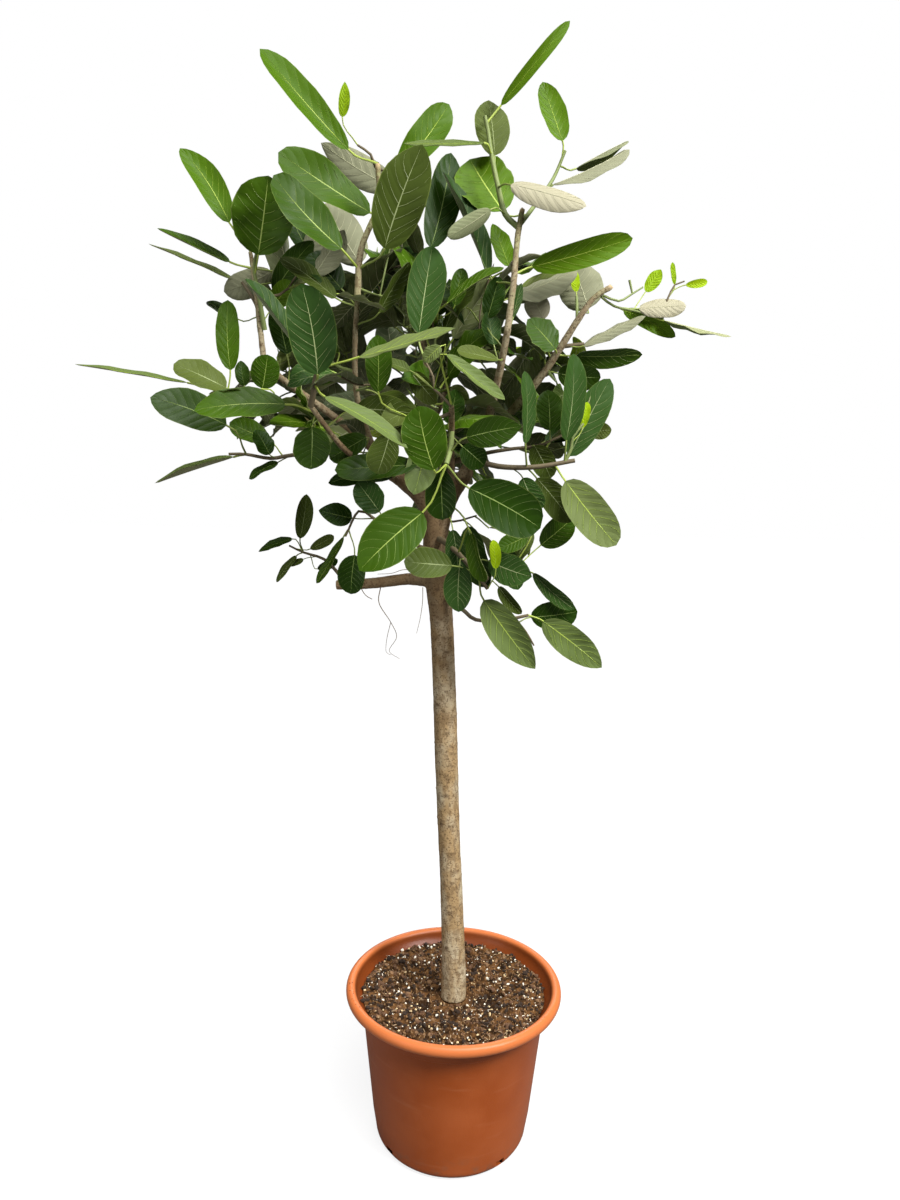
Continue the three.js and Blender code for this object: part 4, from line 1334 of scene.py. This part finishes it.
def growShoot(tip, shown, placed, rng):
    start, radius = nearestWood(tip, reserve=0.6)
    run = (tip - start).length
    if run < 5 * cm:
        outward = (tip - crownMiddle).normalized()
        start, radius = nearestWood(tip - outward * 6 * cm, reserve=0.6)
        run = (tip - start).length
    wander = Vector((rng.uniform(-1, 1), rng.uniform(-1, 1), rng.uniform(-1.2, -0.2))) * run * 0.12
    line = smoothLine([start, start.lerp(tip, 0.5) + wander, tip], 1.2 * cm)
    if hidesShown(line[-3:], shown):
        return
    before = len(leaves)
    tone = rng.choice(shoot["tones"])
    angle = rng.uniform(0, 360)
    back = 0.3 * cm
    for number in range(rng.randint(*shoot["leaves"])):
        if back > run * 0.85:
            break
        share = 1 - back / run
        place = along(line, share)
        way = (along(line, min(1, share + 0.05)) - along(line, max(0, share - 0.05))).normalized()
        leafTone = tone if rng.random() < 0.6 else rng.choice(shoot["tones"])
        if number == 0 and rng.random() < 0.07:
            leafTone = "young"
        angle += shoot["turn"]
        growLeaf(place, way, angle, leafTone, number, shown, placed, rng)
        back += rng.uniform(*shoot["spacing"]) * cm
    if len(leaves) < before + 2:             # a twig without leaves isn't kept
        del leaves[before:], petioles[len(leaves):]
        return
    thick = [min(radius, 1.5 * mm + run * 0.010), 1.3 * mm]
    addTwig(line, thick, "brown" if rng.random() < 0.4 else "green")
    if rng.random() < 0.5:
        end = tip + (line[-1] - line[-2]).normalized() * rng.uniform(1.6, 2.8) * cm
        body = [tip, tip.lerp(end, 0.3), tip.lerp(end, 0.7), end]
        sheaths.add(*sweep(body, [1.4 * mm, 2 * mm, 1.2 * mm, 0.25 * mm], 6), slot=rng.randrange(2))


def growLeaf(place, way, angle, tone, number, shown, placed, rng):
    side = way.orthogonal().normalized()
    for attempt in range(9):
        turn = math.radians(angle + attempt * 40)
        spread = Matrix.Rotation(turn, 3, way) @ side
        leave = (way * 0.55 + spread * 0.9 + up * 0.25).normalized()
        outward = place - crownMiddle
        outward.normalize()
        stalk = rng.uniform(*shoot["stalk"]) * cm * (0.6 if number < 2 else 1)
        length = rng.uniform(*shoot["length"]) * cm * (0.6 if tone == "young" else 0.8 if number < 2 else 1)
        length *= 1 - 0.045 * attempt
        base = place + (leave * 0.85 + outward * 0.15 - up * 0.1) * stalk
        axis = (leave * 0.75 + outward * 0.35 - up * rng.uniform(-0.15, 0.75)).normalized()
        tip = base + axis * length
        if not (insideCrown(tip, shoot["outside"]) and insideCrown(base.lerp(tip, 0.5), shoot["outside"])):
            continue
        spots = [base.lerp(tip, share) for share in (0.2, 0.5, 0.8)]
        if tooClose(spots, placed) or hidesShown(spots, shown):
            continue
        facing = up * 0.75 + Vector((outward.x, outward.y, 0)) * 0.9
        facing += Vector((rng.uniform(-1, 1), rng.uniform(-1, 1), rng.uniform(-1, 1))) * 0.35
        width = length * rng.uniform(*shoot["slender"])
        leaf = Leaf(base, tip, width, facing, tone, rng, fold=38 * rng.random() ** 1.8)
        corners = leaf.corners()
        if (corners.min(axis=0) < leafLow).any() or (corners.max(axis=0) > leafHigh).any():
            continue
        if blocksSky(corners):
            continue
        leaves.append(leaf)
        placed.extend(tuple(spot) for spot in spots)
        size = min(1.5 * mm, 0.5 * mm + length * 0.009)
        petioles.append((petioleLine(place, base + axis * 1 * mm, leave, axis), size, tone))
        return


growWood()
growShownLeaves(random.Random(11))
growShoots(random.Random(5))
print("crown grown:", len(leaves), "leaves")


# Leaf finishes and pieces

def leafFinish(name, colour, roughness):
    finish, tree, shader = newFinish(name, colour, roughness, 0.14)
    place = objectPlace(tree)
    clouds = useGroup(tree, patchMask, Vector=place, Scale=45, Detail=3, Low=0.35, High=0.65)
    tree.links.new(mapShare(tree, clouds, roughness - 0.05, roughness + 0.08), shader.inputs["Roughness"])
    ownPlace = addNode(tree, "ShaderNodeUVMap", uv_map="blade")
    pucker = useGroup(tree, bladeRelief, Vector=ownPlace.outputs[0], Pairs=7.8, Slant=3.4)
    grain = useGroup(tree, fineRelief, Vector=place, Broad=14, Fine=45, Fine_Share=0.15)
    height = addNode(tree, "ShaderNodeMath", {0: pucker, 1: 0.5, 2: grain}, operation="MULTIPLY_ADD")
    addBump(tree, shader, height.outputs[0], 1.2 * mm, 0.5)
    return finish


def stalkFinish(name, colour, roughness=0.5):
    finish, tree, shader = newFinish(name, colour, roughness)
    place = objectPlace(tree)
    clouds = useGroup(tree, patchMask, Vector=place, Scale=80, Detail=3, Low=0.35, High=0.65)
    tree.links.new(mapShare(tree, clouds, roughness - 0.06, roughness + 0.1), shader.inputs["Roughness"])
    relief = useGroup(tree, fineRelief, Vector=place, Broad=250, Fine=900, Fine_Share=0.4)
    addBump(tree, shader, relief, 0.3 * mm)
    return finish


def blend(first, second, share):
    return tuple(a + (b - a) * share for a, b in zip(first, second))


def addVeins(bundle, leaf, net, corners, below, midribSlot, sideSlot):
    points, faces, midribFaces = leaf.veins(net, corners, below)
    bundle.add(list(points), faces, sideSlot)
    for number in range(midribFaces):
        bundle.slots[number - len(faces)] = midribSlot


def makeLeaves():
    masses = sorted(massShapes)
    upper, under = Bundle(), Bundle()
    veinSlot = dict(fresh=0, young=0, mid=1, dark=2, dull=3, blue=3, pale=0, grey=3, shadedGrey=3)
    unitPlaces = np.column_stack([bladePlaces[:, 0], bladePlaces[:, 1] * 0.5 + 0.5])
    for tone, look in tones.items():
        blades, faceSlots = Bundle(), [0, 2, 3]
        for leaf in (leaf for leaf in leaves if leaf.tone == tone):
            corners = leaf.corners()
            first = len(blades.points)
            blades.points.extend(corners)
            blades.faces.extend(tuple(first + c for c in face) for face in bladeFaces)
            blades.slots.extend(leaf.shade if slot == 0 else faceSlots[slot] for slot in bladeSlots)
            addVeins(upper, leaf, upperVeins, corners, False, veinSlot[tone], 4 + veinSlot[tone])
            addVeins(under, leaf, underVeins, corners, True, 0, 1)
        if not blades.points:
            continue
        label = tone.capitalize()
        finishes = [leafFinish("leaf" + label + "A", look["upper"][0], look["rough"]),
                    leafFinish("leaf" + label + "B", look["upper"][1], look["rough"]),
                    leafFinish("leafEdge" + label, blend(look["upper"][0], edgeColour, 0.28), 0.5),
                    leafFinish("leafUnder" + label, look["under"], 0.62)]
        made = blades.make("leaves" + label, finishes)
        ownPlace = made.data.uv_layers.new(name="blade")
        corner = np.zeros(len(made.data.loops), dtype=np.int32)
        made.data.loops.foreach_get("vertex_index", corner)
        ownPlace.data.foreach_set("uv", unitPlaces[corner % len(bladePlaces)].ravel())
        smoothByAngle(made, 75)
        hand(made, "leaves", *masses)
    shades = [("Fresh", "fresh", 0.55), ("Plain", "mid", 0.45), ("Deep", "dark", 0.35), ("Cool", "dull", 0.5)]
    midribs = [stalkFinish("midrib" + name, veinColours[name.lower()]) for name, _, _ in shades]
    sides = [stalkFinish("vein" + name, blend(tones[tone]["upper"][0], veinColours[name.lower()], share))
             for name, tone, share in shades]
    below = [stalkFinish("midribUnder", veinColours["under"], 0.6),
             stalkFinish("veinUnder", blend(veinColours["under"], tones["grey"]["under"], 0.5), 0.6)]
    for made in (upper.make("upperVeins", midribs + sides), under.make("underVeins", below)):
        smoothByAngle(made, 60)
        hand(made, "leaves")


def makeStalks():
    stalks = Bundle()
    kinds = dict(fresh=0, young=0, mid=0, pale=0, dark=1, dull=1, blue=1, grey=1, shadedGrey=1)
    for line, size, tone in petioles:
        stalks.add(*sweep(line, [size * 1.15, size * 0.9, size], 6), slot=kinds[tone])
    made = stalks.make("leafStalks", [stalkFinish("stalkLime", (0.36, 0.45, 0.07)),
                                      stalkFinish("stalkOlive", (0.23, 0.29, 0.06))])
    smoothByAngle(made, 60)
    hand(made, "leaves")
    greens = twigTubes["green"].make("greenTwigs", [stalkFinish("twigGreen", (0.20, 0.25, 0.075), 0.6)])
    browns = twigTubes["brown"].make("brownTwigs", [stalkFinish("twigBrown", (0.13, 0.10, 0.05), 0.7)])
    for made in (greens, browns):
        smoothByAngle(made, 60)
        hand(made, "bark")
    made = sheaths.make("budSheaths", [stalkFinish("sheathLime", (0.30, 0.42, 0.09)),
                                       stalkFinish("sheathRosy", (0.30, 0.24, 0.10))])
    smoothByAngle(made, 60)
    hand(made, "leaves")
    roots = Bundle()
    for line, start, end in aerialRoots:
        roots.add(*sweep(smoothLine([Vector(p) * cm for p in line], 0.4 * cm), [start * mm, end * mm], 5))
    made = roots.make("aerialRoots", [stalkFinish("rootTan", (0.22, 0.15, 0.08), 0.8)])
    smoothByAngle(made, 60)
    hand(made, "bark")


makeLeaves()
makeStalks()
print("leaves and stalks made")


# Floor, world and lights

studio = dict(
    floorSize=30, floorColour=(0.16, 0.16, 0.16), floorGlow=0.84,
    worldLight=0.06,
    key=dict(place=(2.1, -1.7, 2.9), size=1.1, power=134, aim=(0, 0, 0.8)),
    fill=dict(place=(-2.2, -2.0, 1.6), size=1.6, power=19, aim=(0, 0, 0.7)),
    rim=dict(place=(0.2, 2.4, 2.4), size=2.2, power=46, aim=(0, 0, 1.0)),
    sun=dict(strength=3.5, angle=30, turn=(24, 8, 0)),
)


def makeFloor():
    deselectAll()
    bpy.ops.mesh.primitive_plane_add(size=studio["floorSize"])
    floor = bpy.context.object
    floor.name = "studioFloor"
    finish, tree, shader = newFinish("paleFloor", studio["floorColour"], 0.75, 0.1)
    seen = addNode(tree, "ShaderNodeLightPath")          # the floor fades to white in view only
    glow = mapShare(tree, seen.outputs["Is Camera Ray"], 0, studio["floorGlow"])
    shader.inputs["Emission Color"].default_value = (1, 1, 1, 1)
    tree.links.new(glow, shader.inputs["Emission Strength"])
    relief = useGroup(tree, fineRelief, Vector=objectPlace(tree), Broad=60, Fine=400, Fine_Share=0.5)
    addBump(tree, shader, relief, 0.1 * mm)
    floor.data.materials.append(finish)


def makeWorld():
    world = bpy.data.worlds.new("studioWorld")
    bpy.context.scene.world = world
    world.use_nodes = True
    tree = world.node_tree
    background = tree.nodes["Background"]
    seen = addNode(tree, "ShaderNodeLightPath")
    strength = addNode(tree, "ShaderNodeMapRange", {
        "Value": seen.outputs["Is Camera Ray"], "To Min": studio["worldLight"], "To Max": 1.0})
    background.inputs["Color"].default_value = (1, 1, 1, 1)
    tree.links.new(strength.outputs[0], background.inputs["Strength"])


def makeLights():
    for name in ("key", "fill", "rim"):
        light = studio[name]
        place = Vector(light["place"])
        bpy.ops.object.light_add(type="AREA", location=place)
        lamp = bpy.context.object
        lamp.name = name + "Light"
        lamp.data.shape = "DISK"
        lamp.data.size = light["size"]
        lamp.data.energy = light["power"]
        lamp.rotation_euler = (Vector(light["aim"]) - place).to_track_quat("-Z", "Y").to_euler()
    sun = studio["sun"]
    bpy.ops.object.light_add(type="SUN", location=(0, 0, 4), rotation=[math.radians(a) for a in sun["turn"]])
    bpy.context.object.data.energy = sun["strength"]
    bpy.context.object.data.angle = math.radians(sun["angle"])


makeFloor()
makeWorld()
makeLights()
bpy.context.scene.view_settings.view_transform = "Standard"
print("studio lit")
